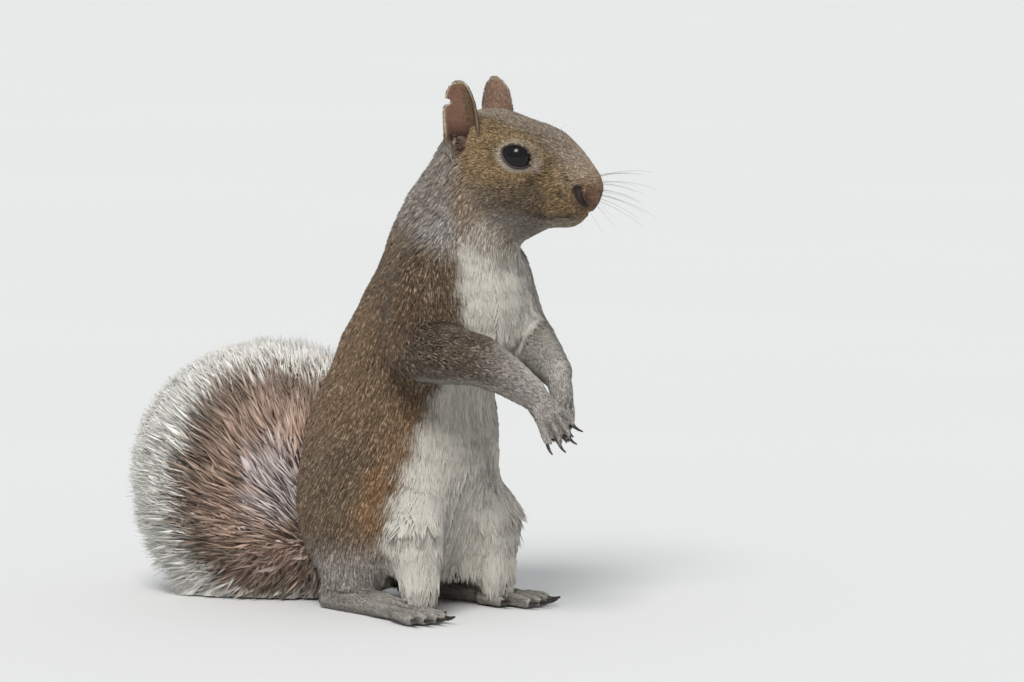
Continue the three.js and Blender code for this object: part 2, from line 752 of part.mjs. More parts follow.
let headNode = nodeOf(REGIONS.head, STEP.head);
for (const { sign } of SIDES) headNode = headNode.subtract(eyeball(sign, EYE_RADIUS + GAP));
add("head", headNode, "face");
add("neck", nodeOf(REGIONS.neck, STEP.neck), "coat");
const armRegions = regionsOf(["upper_arm", "forearm", "hand"]);
const legRegions = regionsOf(["thigh", "shin", "foot"]);
add("chest", nodeOf(REGIONS.chest, STEP.trunk, armRegions), "coat");
add("abdomen", nodeOf(REGIONS.abdomen, STEP.trunk, [...legRegions, ...armRegions]), "coat");

const headGrown = grownBody(GAP, V(-40, -80, 165), V(45, -10, 212), 5);

for (const { name, sign } of SIDES) {
  const part = (kind) => REGIONS[kind + "_" + name];
  const node = (kind, step, inFront) => nodeOf(part(kind), step, inFront.map(part));
  add("eye_" + name, eyeball(sign, EYE_RADIUS), "eye");
  add("ear_" + name, earNode(sign, headGrown), "ear");
  add("upper_arm_" + name, node("upper_arm", STEP.upperArm, ["forearm"]), "limbs");
  add("forearm_" + name, region(part("forearm")), "limbs");
  add("thigh_" + name, node("thigh", STEP.thigh, ["shin", "foot"]), "coat");
  add("shin_" + name, node("shin", STEP.shin, ["foot"]), "coat");
  for (const [kind, digits, flatten] of [
    ["hand", fingersOf(ARMS[name]), 1],
    ["foot", toesOf(LEGS[name], sign), 0.9],
  ]) {
    let flesh = region(part(kind)).subtract(underFloor);
    digits.forEach((one, i) => {
      flesh = flesh.add(solid(tube(one.joints, one.radii, one.side, flatten, 5)));
      add(`claw_${kind}_${name}_${i + 1}`, largest(clawSolid(one, CLAW[kind]).subtract(underFloor)), "claw");
    });
    add(kind + "_" + name, largest(flesh.subtract(underFloor)), "limbs");
  }
}
tailNodes().forEach((piece, i) => add("tail_" + (i + 1), piece, "tail"));

// The origin is at the middle of the animal's box, on the floor.
const whole = new THREE.Box3().setFromObject(squirrel);
const middle = whole.getCenter(ZERO.clone());
squirrel.position.set(-middle.x, -middle.y, 0);

export default squirrel;
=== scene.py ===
"""The looks of a grey squirrel that stands on its hind feet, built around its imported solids.

One skin stands for all the flesh. It lies inside the solids by the depth of the coat. Tufts of hair grow
from it and lie along the body, and the tail's long hairs stand out from a thin core. Eyes, ears, lids,
whiskers and claws are pieces of their own. Lengths are metres, and MM turns millimetres into them.
"""

import logging
import math
from dataclasses import dataclass, field
from enum import Enum

import bmesh
import bpy
import numpy as np
from mathutils import Matrix, Vector
from mathutils.bvhtree import BVHTree


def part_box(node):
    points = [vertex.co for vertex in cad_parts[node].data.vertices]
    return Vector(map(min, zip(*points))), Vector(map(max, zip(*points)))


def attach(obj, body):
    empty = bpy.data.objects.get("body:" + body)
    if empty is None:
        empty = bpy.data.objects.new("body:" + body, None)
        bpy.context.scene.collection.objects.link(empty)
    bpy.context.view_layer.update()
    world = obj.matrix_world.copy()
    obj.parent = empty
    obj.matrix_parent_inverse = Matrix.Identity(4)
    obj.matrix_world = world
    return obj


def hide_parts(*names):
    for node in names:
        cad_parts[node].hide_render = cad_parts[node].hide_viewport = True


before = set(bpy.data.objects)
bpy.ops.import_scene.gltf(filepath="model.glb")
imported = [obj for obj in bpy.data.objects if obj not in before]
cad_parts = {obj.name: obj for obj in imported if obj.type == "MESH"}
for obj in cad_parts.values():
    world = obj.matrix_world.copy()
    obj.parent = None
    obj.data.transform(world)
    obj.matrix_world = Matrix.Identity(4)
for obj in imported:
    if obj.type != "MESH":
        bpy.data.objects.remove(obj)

LOG = logging.getLogger("squirrel")
Array = np.ndarray
MM = 0.001
BODY = "root"
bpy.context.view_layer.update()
SIDES = {"right": -1.0, "left": 1.0}

UP = np.array([0.0, 0.0, 1.0])
# The point midway between the eyes, along the trunk's axes.
EYES_ON_TRUNK = np.array([8.24, -58.88, 183.3]) * MM
EYE_ZONE = 14 * MM  # how far from an eyeball's middle its lids and the skin round them reach


def unit(v: Array) -> Array:
    """The vectors along the last axis, each one long."""
    return v / np.maximum(np.linalg.norm(v, axis=-1, keepdims=True), 1e-12)


def ease(low: float, high: float, x: Array) -> Array:
    """Rises smoothly from 0 at low to 1 at high."""
    t = np.clip((x - low) / (high - low), 0, 1)
    return t * t * (3 - 2 * t)


def blend(a: Array, b: Array, share: Array) -> Array:
    """The mix of a and b that holds the given share of b."""
    return a + (b - a) * share


def dot(a: Array, b: Array) -> Array:
    """The dot products along the last axis."""
    return (a * b).sum(-1)


def middle_of(node: str) -> Array:
    """The middle of a solid's box."""
    low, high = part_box(node)
    return np.array((low + high) / 2)


def vertices_of(mesh: bpy.types.Mesh) -> Array:
    """The places of a mesh's vertices.

    Args:
        mesh: The mesh.

    Returns:
        One row for each vertex.
    """
    points = np.empty(len(mesh.vertices) * 3, np.float32)
    mesh.vertices.foreach_get("co", points)
    return points.reshape(-1, 3).astype(float)


def triangles_of(mesh: bpy.types.Mesh) -> Array:
    """The vertex numbers of a mesh's triangles.

    Args:
        mesh: The mesh.

    Returns:
        Three vertex numbers for each triangle.
    """
    mesh.calc_loop_triangles()
    faces = np.empty(len(mesh.loop_triangles) * 3, np.int32)
    mesh.loop_triangles.foreach_get("vertices", faces)
    return faces.reshape(-1, 3)


def long_axis(node: str, towards: Array) -> Array:
    """The way that a solid is longest, signed to point towards a place.

    Args:
        node: The solid's name.
        towards: A place beyond the end that the axis points to.

    Returns:
        A unit vector.
    """
    points = vertices_of(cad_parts[node].data)
    centre = points.mean(0)
    way = np.linalg.svd(points - centre, full_matrices=False)[2][0]
    return way * np.sign(way @ (towards - centre))


# ---------------------------------------------------------------- surfaces


@dataclass
class Shell:
    """A surface of triangles, held as arrays."""

    points: Array
    faces: Array

    @classmethod
    def of(cls, mesh: bpy.types.Mesh) -> "Shell":
        """The surface of a Blender mesh."""
        return cls(vertices_of(mesh), triangles_of(mesh))

    def corner_cross(self) -> Array:
        """Each triangle's normal, as long as twice its area."""
        a, b, c = (self.points[self.faces[:, i]] for i in range(3))
        return np.cross(b - a, c - a)

    def areas(self) -> Array:
        """The triangles' areas."""
        return np.linalg.norm(self.corner_cross(), axis=1) / 2

    def normals(self) -> Array:
        """The vertices' normals.

        Returns:
            One unit vector for each vertex.
        """
        cross = self.corner_cross()
        total = np.zeros_like(self.points)
        for corner in range(3):
            for axis in range(3):
                total[:, axis] += np.bincount(self.faces[:, corner], cross[:, axis], len(self.points))
        return unit(total)

    def edges(self) -> Array:
        """The pairs of vertices that an edge joins.

        Returns:
            Two vertex numbers for each edge, each edge once.
        """
        sides = [self.faces[:, [0, 1]], self.faces[:, [1, 2]], self.faces[:, [2, 0]]]
        pairs = np.sort(np.vstack(sides), axis=1)
        keys = np.unique(pairs[:, 0].astype(np.int64) * len(self.points) + pairs[:, 1])
        return np.stack([keys // len(self.points), keys % len(self.points)], axis=1)

    def spread(self, values: Array, rounds: int, share: Array = 0.5) -> Array:
        """Evens values out over the surface.

        Args:
            values: One row for each vertex.
            rounds: How many times each vertex moves towards its neighbours' mean.
            share: How far it moves each time, for all vertices or for each.

        Returns:
            The evened values.
        """
        a, b = self.edges().T
        count = np.bincount(np.concatenate([a, b]), minlength=len(self.points))[:, None]
        made = values.reshape(len(self.points), -1).astype(float)
        amount = np.broadcast_to(np.asarray(share, float).reshape(-1, 1), (len(self.points), 1))
        for _ in range(rounds):
            mean = np.empty_like(made)
            for k in range(made.shape[1]):
                mean[:, k] = np.bincount(a, made[b, k], len(self.points))
                mean[:, k] += np.bincount(b, made[a, k], len(self.points))
            made = blend(made, mean / np.maximum(count, 1), amount)
        return made.reshape(values.shape)

    def faired(self, rounds: int, share: Array = 0.6) -> "Shell":
        """The surface with its facets evened out and its volume kept.

        Args:
            rounds: How many times it is evened out and swollen back.
            share: How far vertices move each time, for all or for each.

        Returns:
            The evened surface.
        """
        points = self.points
        for _ in range(rounds):
            points = self.spread(points, 1, share)
            points = self.spread(points, 1, -1.04 * np.asarray(share))
        return Shell(points, self.faces)

    def refined(self, wanted: Array) -> "Shell":
        """The surface with each edge between wanted vertices split in two.

        Args:
            wanted: For each vertex, whether it is wanted.

        Returns:
            The finer surface.
        """
        count = len(self.points)
        pairs = np.sort(np.stack([self.faces, np.roll(self.faces, -1, axis=1)], 2), axis=2).astype(np.int64)
        split = wanted[pairs].all(2)
        keys = pairs[..., 0] * count + pairs[..., 1]
        made, number = np.unique(keys[split], return_inverse=True)
        middle = np.full(split.shape, -1)
        middle[split] = count + number.reshape(-1)
        points = np.vstack([self.points, (self.points[made // count] + self.points[made % count]) / 2])
        whole = split.all(1)
        faces = [self.faces[~split.any(1)]]
        a, b, c = self.faces[whole].T
        ab, bc, ca = middle[whole].T
        faces += [np.stack(corners, 1) for corners in ((a, ab, ca), (ab, b, bc), (ca, bc, c), (ab, bc, ca))]
        for k in range(3):
            one = split[:, k] & ~whole
            a, b, c = (self.faces[one, (k + i) % 3] for i in range(3))
            faces += [np.stack([a, middle[one, k], c], 1), np.stack([middle[one, k], b, c], 1)]
        return Shell(points, np.vstack(faces))

    def welded(self) -> "Shell":
        """The same surface with the vertices that lie together joined.

        Returns:
            The welded surface, without faces that have no area left.
        """
        keys = np.round(self.points / (0.01 * MM)).astype(np.int64)
        _, first, inverse = np.unique(keys, axis=0, return_index=True, return_inverse=True)
        faces = inverse.reshape(-1)[self.faces]
        good = (faces[:, 0] != faces[:, 1]) & (faces[:, 1] != faces[:, 2]) & (faces[:, 0] != faces[:, 2])
        return Shell(self.points[first], faces[good])

    def outward(self) -> "Shell":
        """The same closed surface with its faces turned to look out."""
        inside_out = dot(self.points[self.faces].mean(1) - self.points.mean(0), self.corner_cross()).sum() < 0
        return Shell(self.points, self.faces[:, ::-1] if inside_out else self.faces)

    def tree(self) -> BVHTree:
        """The surface as a tree that finds nearest points."""
        return BVHTree.FromPolygons(self.points.tolist(), self.faces.tolist(), all_triangles=True)

    def to_mesh(self, name: str) -> bpy.types.Object:
        """A smooth-shaded Blender object with this surface.

        Args:
            name: The object's name.

        Returns:
            The object, linked to the scene.
        """
        mesh = bpy.data.meshes.new(name)
        mesh.vertices.add(len(self.points))
        mesh.vertices.foreach_set("co", self.points.astype(np.float32).ravel())
        mesh.loops.add(self.faces.size)
        mesh.loops.foreach_set("vertex_index", self.faces.astype(np.int32).ravel())
        mesh.polygons.add(len(self.faces))
        mesh.polygons.foreach_set("loop_start", np.arange(0, self.faces.size, 3, dtype=np.int32))
        mesh.polygons.foreach_set("use_smooth", np.ones(len(self.faces), bool))
        mesh.update()
        made = bpy.data.objects.new(name, mesh)
        bpy.context.scene.collection.objects.link(made)
        return made


def join(shells: list[Shell]) -> Shell:
    """Several surfaces as one, not welded.

    Args:
        shells: The surfaces.

    Returns:
        One surface.
    """
    starts = np.cumsum([0] + [len(s.points) for s in shells])
    faces = [s.faces + start for s, start in zip(shells, starts)]
    return Shell(np.vstack([s.points for s in shells]), np.vstack(faces))


def loft(rings: Array, closed_ends: bool = True) -> Shell:
    """A tube through rings of points.

    Args:
        rings: The points, as rings x sides x 3, each ring running the same way round.
        closed_ends: Whether a fan closes each end.

    Returns:
        The tube, facing out where the rings turn anticlockwise as seen from the last one.
    """
    count, sides = rings.shape[:2]
    points = [rings.reshape(-1, 3)]
    start = (np.arange(count - 1)[:, None] * sides + np.arange(sides)).ravel()
    after = (np.arange(count - 1)[:, None] * sides + (np.arange(sides) + 1) % sides).ravel()
    faces = [np.stack([start, after, start + sides], 1), np.stack([after, after + sides, start + sides], 1)]
    if closed_ends:
        ring = np.arange(sides)
        turned = (ring + 1) % sides
        last = (count - 1) * sides
        hubs = np.full(sides, count * sides)
        points += [rings[0].mean(0)[None], rings[-1].mean(0)[None]]
        faces += [np.stack([hubs, turned, ring], 1), np.stack([hubs + 1, last + ring, last + turned], 1)]
    return Shell(np.vstack(points), np.vstack(faces))


def set_values(made: bpy.types.Object, name: str, values: Array) -> None:
    """Stores one number for each vertex under a name that finishes can read."""
    layer = made.data.attributes.new(name, "FLOAT", "POINT")
    layer.data.foreach_set("value", values.astype(np.float32).ravel())


def nearest(tree: BVHTree, points: Array) -> tuple[Array, Array, Array]:
    """Looks up the nearest point of a surface for many points.

    Args:
        tree: The surface.
        points: The points.

    Returns:
        The nearest points, the surface's normals there, and the numbers of the triangles.
    """
    found = [tree.find_nearest(p) for p in points.tolist()]
    places = np.array([f[0][:] for f in found])
    normals = np.array([f[1][:] for f in found])
    return places, normals, np.array([f[2] for f in found])


# ---------------------------------------------------------------- the head's own axes


class Head:
    """The head's axes: forward to the nose, to the animal's left, and up, from midway between the eyes."""

    def __init__(self) -> None:
        """Reads the axes from the two eyeballs."""
        right, left = middle_of("eye_right"), middle_of("eye_left")
        self.origin = (right + left) / 2
        self.left = unit(left - right)
        self.forward = np.cross(self.left, UP)
        low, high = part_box("eye_right")
        self.eye_radius = float(high.z - low.z) / 2
        self.eye_out = float(np.linalg.norm(left - right)) / 2

    def at(self, forward: float, left: float, up: float) -> Array:
        """A point given in millimetres along the head's axes, in the shared frame."""
        return self.origin + (self.forward * forward + self.left * left + UP * up) * MM

    def local(self, points: Array) -> Array:
        """Points of the shared frame in millimetres along the head's axes."""
        return (points - self.origin) @ np.stack([self.forward, self.left, UP], 1) / MM


HEAD = Head()


# The trunk's axes run to the animal's left, backwards, and up from the floor under the hips.
TRUNK_AT = HEAD.origin - EYES_ON_TRUNK


def on_trunk(x: float, y: float, z: float) -> Array:
    """A point given in millimetres along the trunk's axes, in the shared frame."""
    return TRUNK_AT + np.array([x, y, z]) * MM


def trunk_local(points: Array) -> Array:
    """Points of the shared frame in millimetres along the trunk's axes."""
    return (points - TRUNK_AT) / MM


# ---------------------------------------------------------------- regions of the coat


@dataclass(frozen=True)
class Pelt:
    """How the coat grows on one region, in millimetres."""

    depth: float
    length: float
    width: float
    density: float  # tufts for each square millimetre
    clump: float = 0.25


PELTS = {
    "head": Pelt(depth=1.4, length=2.9, width=0.3, density=7.4, clump=0.05),
    "neck": Pelt(depth=3.2, length=7.0, width=0.42, density=5.2, clump=0.12),
    "chest": Pelt(depth=3.6, length=8.5, width=0.44, density=4.7, clump=0.14),
    "abdomen": Pelt(depth=4.0, length=9.5, width=0.45, density=4.5, clump=0.14),
    "upper_arm": Pelt(depth=2.8, length=6.6, width=0.44, density=4.2, clump=0.12),
    "forearm": Pelt(depth=1.6, length=4.0, width=0.38, density=5.0, clump=0.08),
    "hand": Pelt(depth=0.5, length=1.9, width=0.3, density=5.5, clump=0.0),
    "thigh": Pelt(depth=4.0, length=9.0, width=0.45, density=4.5, clump=0.14),
    "shin": Pelt(depth=3.2, length=8.5, width=0.44, density=4.4, clump=0.14),
    "foot": Pelt(depth=0.5, length=2.3, width=0.32, density=5.0, clump=0.0),
    "tail": Pelt(depth=0.0, length=4.0, width=0.5, density=0.8),
}
PAIRED = ("upper_arm", "forearm", "hand", "thigh", "shin", "foot")
FLESH = ["head", "neck", "chest", "abdomen"] + [f"{kind}_{side}" for kind in PAIRED for side in SIDES]
TAIL_NODES = [f"tail_{i}" for i in range(1, 6)]
REGIONS = [*FLESH, "tail"]


def kind_of(region: str) -> str:
    """A region's name without its side."""
    return region.removesuffix("_right").removesuffix("_left")


def share_of(shares: Array, *kinds: str) -> Array:
    """How much points belong to some kinds of region, on either side."""
    return shares[:, [i for i, r in enumerate(REGIONS) if kind_of(r) in kinds]].sum(1)


def eye_gap(points: Array) -> Array:
    """How far points lie from the middle of the nearer eyeball."""
    return np.min([np.linalg.norm(points - middle_of("eye_" + side), axis=1) for side in SIDES], axis=0)


def on_muzzle(points: Array, start: float) -> Array:
    """Whether points lie on the face, more than start millimetres forward of the eyes."""
    local = HEAD.local(points)
    return (local[:, 0] > start) & (np.abs(local[:, 1]) < 30) & (local[:, 2] > -45)


def lie_of_coat() -> Array:
    """The way that hair runs on each region, one unit vector for each of REGIONS.

    Returns:
        The unit vectors, in the order of REGIONS.
    """
    backwards = {
        "head": -HEAD.forward - 0.12 * UP,
        "neck": np.array([0.0, 0.4, -0.92]),
        "chest": np.array([0.0, 0.16, -0.99]),
        "abdomen": np.array([0.0, 0.10, -0.99]),
        "thigh": np.array([0.0, 0.22, -0.97]),
        "shin": np.array([0.0, 0.0, -1.0]),
        "tail": np.array([-0.4, 0.8, -0.3]),
    }
    ways = []
    for region in REGIONS:
        kind = kind_of(region)
        if kind in backwards:
            ways.append(backwards[kind])
            continue
        side = region.removeprefix(kind + "_")
        after = {"upper_arm": "forearm_" + side, "forearm": "hand_" + side}
        beyond = after.get(kind, f"claw_{kind}_{side}_3")
        ways.append(long_axis(region, middle_of(beyond)))
    return unit(np.array(ways))


# ---------------------------------------------------------------- tail


@dataclass
class TailLine:
    """The line of the tail's bone: along the floor, then up and forward in an upright curl."""

    root: tuple[float, float] = (0.0, 34.0)  # where the curl's plane starts, along the trunk's axes
    way: tuple[float, float] = (-0.45, 0.893)  # the way that it leaves the rump
    ring: float = 29.0  # the curl's radius
    centre: tuple[float, float] = (35.0, 49.0)  # how far out and up the curl's centre lies
    sweep: tuple[float, float] = (8.0, 178.0)  # degrees round it, from its foot
    half: float = 25.0  # half the tail's full breadth
    flat: float = 0.84  # its breadth across the curl, against that in its plane
    core: tuple[float, float] = (4.6, 2.2)  # the core's radius at the root and at the tip

    def __post_init__(self) -> None:
        """Works out the curl's plane and the points of the line."""
        self.out = unit(np.array([*self.way, 0.0]))
        self.side = np.cross(self.out, UP)
        base = [self.place(-16, 40), self.place(-4, 33), self.place(8, 27), self.place(21, 22.5)]
        angles = np.radians(np.linspace(*self.sweep, 9))
        out, up = self.centre
        curl = [self.place(out + self.ring * math.sin(a), up - self.ring * math.cos(a)) for a in angles]
        top = up + self.ring
        end = [self.place(out - 12, top - 1.0), self.place(out - 20, top - 4.5)]
        self.points = self.curve(np.array(base + curl + end))
        self.ways = unit(np.gradient(self.points, axis=0))

    def place(self, out: float, up: float) -> Array:
        """A point of the curl's plane, in millimetres out from its root and up from the floor."""
        return on_trunk(*self.root, 0) + (self.out * out + UP * up) * MM

    def curve(self, knots: Array, count: int = 240) -> Array:
        """Even points of the smooth curve through knots.

        Args:
            knots: The points that the curve passes.
            count: How many points to make.

        Returns:
            The points, an even step apart.
        """
        ends = [2 * knots[0] - knots[1], *knots, 2 * knots[-1] - knots[-2]]
        fine = []
        for a, b, c, d in zip(ends, ends[1:], ends[2:], ends[3:]):
            t = np.linspace(0, 1, 40, endpoint=False)[:, None]
            bend = (2 * a - 5 * b + 4 * c - d) * t**2 + (3 * b - a - 3 * c + d) * t**3
            fine.append(b + ((c - a) * t + bend) / 2)
        path = np.vstack(fine)
        run = np.concatenate([[0], np.cumsum(np.linalg.norm(np.diff(path, axis=0), axis=1))])
        even = np.linspace(0, run[-1], count)
        return np.stack([np.interp(even, run, path[:, k]) for k in range(3)], axis=1)

    def core_radius(self, t: Array) -> Array:
        """The core's radius from the root at 0 to the tip at 1, in metres."""
        return blend(*self.core, ease(0, 1, t)) * np.sqrt(1 - ease(0.93, 1.0, t) * 0.8) * MM

    def core_shell(self) -> Shell:
        """The tail's core as a closed tube.

        Returns:
            The tube, closed at both ends.
        """
        picks = np.linspace(0, len(self.points) - 1, 70).astype(int)
        radii = self.core_radius(picks / (len(self.points) - 1.0))
        over = np.cross(self.ways[picks], self.side)
        angles = np.linspace(0, 2 * math.pi, 16, endpoint=False)
        ring = np.cos(angles)[None, :, None] * self.side + np.sin(angles)[None, :, None] * over[:, None]
        return loft(self.points[picks][:, None] + ring * radii[:, None, None])


# ---------------------------------------------------------------- features of the head


def line_gap(points: Array, line: list[tuple[float, float]]) -> tuple[Array, Array]:
    """Measures points of a plane against a line of joined points.

    Args:
        points: The points, two numbers each.
        line: The line's points, in order.

    Returns:
        The distance to the line, and how far along it the nearest place lies, from 0 to 1.
    """
    knots = np.array(line)
    gap = np.full(len(points), np.inf)
    along = np.zeros(len(points))
    for i, (a, b) in enumerate(zip(knots, knots[1:])):
        t = np.clip((points - a) @ (b - a) / ((b - a) @ (b - a)), 0, 1)
        here = np.linalg.norm(points - a - t[:, None] * (b - a), axis=1)
        along = np.where(here < gap, (i + t) / (len(knots) - 1), along)
        gap = np.minimum(gap, here)
    return gap, along


@dataclass(frozen=True)
class Groove:
    """A groove or a ridge along both sides of the head, over a line of forward and up millimetres."""

    line: tuple[tuple[float, float], ...]
    width: tuple[float, float]  # at the line's start and at its end
    depth: float  # below zero for a ridge
    out: tuple[float, float]  # how far out on the side of the head it lies

    def share(self, local: Array) -> Array:
        """How deep in the groove each point lies: 1 on its line, 0 outside it.

        Args:
            local: Points along the head's axes, in millimetres.

        Returns:
            A share for each point.
        """
        gap, along = line_gap(local[:, [0, 2]], list(self.line))
        out = np.abs(local[:, 1])
        inside = ease(self.out[0] - 0.6, self.out[0], out) * ease(self.out[1] + 0.6, self.out[1], out)
        return np.clip(1 - (gap / blend(*self.width, along)) ** 2, 0, 1) * inside


NOSTRIL = Groove(((24.6, -12.2), (25.0, -14.6), (26.1, -17.2), (26.9, -18.6)), (2.2, 0.9), 1.7, (1.7, 9))
LIPS = Groove(((31, -21.6), (26, -21.9), (20, -22.9), (13, -23.4), (8.5, -21.8)), (0.9, 0.6), 0.8, (-1, 14))
PHILTRUM = Groove(((29.5, -18.5), (28.6, -21.8)), (0.7, 0.7), 0.7, (-1, 0.6))
CONCHA = Groove(((-21.0, 9.5), (-20.6, 6), (-19.8, 2.0)), (4.0, 2.2), 3.4, (11.5, 22))
FEATURES = (NOSTRIL, LIPS, PHILTRUM, CONCHA)


@dataclass(frozen=True)
class Opening:
    """The almond opening of one eye, as an angle from the way that the eye looks."""

    side: str
    corner: float = 60.0  # degrees at its corners
    middle: float = 36.5  # degrees at its top and bottom
    tilt: float = 19.0  # degrees that its front corner hangs lower
    point: float = 1.65  # 2 is an oval, and less is more pointed

    @property
    def centre(self) -> Array:
        """The eyeball's middle."""
        return middle_of("eye_" + self.side)

    def axes(self) -> tuple[Array, Array, Array]:
        """The way that the eye looks, the way to its front corner, and the way to its top.

        Returns:
            Three unit vectors, square to each other.
        """
        look = unit(HEAD.left * SIDES[self.side] * 0.9 + HEAD.forward * 0.38 + UP * 0.1)
        front = HEAD.forward * math.cos(math.radians(self.tilt)) - UP * math.sin(math.radians(self.tilt))
        front = unit(front - look * (front @ look))
        top = np.cross(look, front)
        return look, front, top * np.sign(top @ UP)

    def edge(self, turn: Array) -> Array:
        """The opening's angle from the eye's axis, in radians, by the turn round it from the front corner.

        Args:
            turn: The turns, in radians.

        Returns:
            The angles.
        """
        wide = np.abs(np.cos(turn)) / self.corner
        high = np.abs(np.sin(turn)) / self.middle
        return np.radians((wide**self.point + high**self.point) ** (-1 / self.point))

    def beyond(self, points: Array) -> tuple[Array, Array, Array]:
        """Measures points against the opening.

        Args:
            points: The points.

        Returns:
            How far each lies outside the opening, in degrees, how far from the eyeball's middle, and how much
            it lies to the top, from -1 to 1.
        """
        offset = points - self.centre
        reach = np.linalg.norm(offset, axis=1)
        look, front, top = self.axes()
        angle = np.arccos(np.clip(offset @ look / reach, -1, 1))
        turn = np.arctan2(offset @ top, offset @ front)
        return np.degrees(angle - self.edge(turn)), reach, np.sin(turn)


# ---------------------------------------------------------------- skin


@dataclass
class Skin:
    """One skin for all the flesh, made from the solids and let in by the depth of the coat."""

    voxel: float = 1.0 * MM
    swell: float = 0.35 * MM  # closes the cuts between the solids
    fairing: int = 26  # rounds that even out the facets
    joining: int = 34  # rounds of smoothing where two parts of the body meet
    sinking: int = 4  # steps in which the skin is let in
    lid_lift: float = 0.42 * MM  # the least height of the skin over the eyeball, outside the opening
    under_eye: float = 0.9 * MM  # how far the skin inside the opening lies under the eyeball's surface
    tail: TailLine = field(default_factory=TailLine)

    def cast(self) -> Shell:
        """The solids of the flesh and the eyes, swollen until they meet, with the tail's core.

        Returns:
            The overlapping surfaces as one.
        """
        shells = []
        for node in [*FLESH, *("eye_" + side for side in SIDES)]:
            welded = Shell.of(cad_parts[node].data).welded()
            swell = self.swell * (0.6 if kind_of(node) in ("hand", "foot") else 1)
            shells.append(Shell(welded.points + welded.normals() * swell, welded.faces))
        return join([*shells, self.tail.core_shell()])

    def remesh(self, shell: Shell) -> Shell:
        """The outer surface of overlapping shells, in even small faces.

        Args:
            shell: The overlapping shells.

        Returns:
            One closed surface.
        """
        rough = shell.to_mesh("cast")
        modifier = rough.modifiers.new("remesh", "REMESH")
        modifier.mode = "VOXEL"
        modifier.voxel_size = self.voxel
        graph = bpy.context.evaluated_depsgraph_get()
        made = Shell.of(rough.evaluated_get(graph).to_mesh())
        bpy.data.objects.remove(rough)
        return made

    def region_shares(self, shell: Shell) -> Array:
        """How much each vertex belongs to each region, evened out where regions meet.

        Args:
            shell: The surface.

        Returns:
            One row for each vertex and one column for each of REGIONS.
        """
        parts = [Shell.of(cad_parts[n].data) for n in FLESH] + [self.tail.core_shell()]
        owner = np.repeat(np.arange(len(parts)), [len(p.faces) for p in parts])
        _, _, face = nearest(join(parts).tree(), shell.points)
        return shell.spread(np.eye(len(parts))[owner[face]], 40, 0.9)

    def build(self) -> "Skin":
        """Makes the surface and what is known at each of its vertices.

        Returns:
            This skin, with its surface, its shares and its depth set.
        """
        shell = self.remesh(self.cast())
        shares = self.region_shares(shell)
        fine = self.fineness(shares)
        shell = shell.faired(self.fairing, blend(0.62, 0.3, fine))
        shell.points = shell.spread(shell.points, self.joining, 0.6 * self.junctions(shares))
        near_eye = eye_gap(shell.points) < 13 * MM
        paws = share_of(shares, "hand") + share_of(shares, "foot") > 0.4
        shell, shares = self.refine(shell, shares, on_muzzle(shell.points, 13) | near_eye | paws)
        shell, shares = self.refine(shell, shares, on_muzzle(shell.points, 19))
        fine = self.fineness(shares)
        depth = shares @ np.array([PELTS[kind_of(r)].depth for r in REGIONS]) * MM
        depth = depth * self.thin_places(shell.points)
        for _ in range(self.sinking):
            inward = unit(shell.spread(shell.normals(), 3))
            shell.points = shell.points - inward * depth[:, None] / self.sinking
            shell.points = shell.spread(shell.points, 2, blend(0.45, 0.12, fine))
        self.shell, self.shares, self.depth = shell, shares, depth
        self.carve()
        self.part_digits()
        return self

    @staticmethod
    def refine(shell: Shell, shares: Array, wanted: Array) -> tuple[Shell, Array]:
        """Makes part of the surface twice as fine, and takes the regions' shares along.

        Args:
            shell: The surface.
            shares: How much each vertex belongs to each region.
            wanted: For each vertex, whether it is to be finer.

        Returns:
            The finer surface and its shares.
        """
        finer = shell.refined(wanted)
        _, _, face = nearest(shell.tree(), finer.points[len(shell.points) :])
        return finer, np.vstack([shares, shares[shell.faces[face]].mean(1)])

    @staticmethod
    def fineness(shares: Array) -> Array:
        """Where small forms matter: 1 on the paws and the tail's core, 0 on the trunk."""
        fine = share_of(shares, "hand", "foot", "tail") + share_of(shares, "head") * 0.45
        return ease(0.1, 0.8, np.clip(fine, 0, 1))

    @staticmethod
    def junctions(shares: Array) -> Array:
        """Where two parts of the body meet, apart from the head, the paws and the tail."""
        kept = [kind for kind in PELTS if kind not in ("head", "hand", "foot", "tail")]
        return ease(0.04, 0.35, 1 - shares.max(1)) * ease(0.75, 0.98, share_of(shares, *kept))

    @staticmethod
    def thin_places(points: Array) -> Array:
        """Where the coat is thinner than its region's: 1 is the full depth.

        Args:
            points: Points of the skin.

        Returns:
            A factor for each point.
        """
        local = HEAD.local(points)
        near = np.linalg.norm(local, axis=1) < 60
        muzzle = ease(29, 8, local[:, 0]) * 0.75 + 0.25
        round_eye = 0.4 + 0.6 * ease(8 * MM, 16 * MM, eye_gap(points))
        return np.where(near, np.minimum(muzzle, round_eye), 1.0)

    def carve(self) -> None:
        """Sinks the head's grooves and the skin under the eyeballs, and fits the skin to the eyes."""
        shell = self.shell
        local = HEAD.local(shell.points)
        sink = sum(groove.share(local) * groove.depth for groove in FEATURES) * MM
        sink = shell.spread(sink, 1) * share_of(self.shares, "head")
        shell.points = shell.points - shell.normals() * sink[:, None]
        radius = HEAD.eye_radius
        for side in SIDES:
            eye = Opening(side)
            past, reach, _ = eye.beyond(shell.points)
            lifted = radius + self.lid_lift
            fitted = blend(lifted, reach, ease(8, 34, past))
            fitted = np.where(past < 1, radius - self.under_eye, np.maximum(fitted, lifted))
            share = ease(EYE_ZONE, 11 * MM, reach)
            ways = (shell.points - eye.centre) / reach[:, None]
            shell.points = shell.points + ways * ((fitted - reach) * share)[:, None]

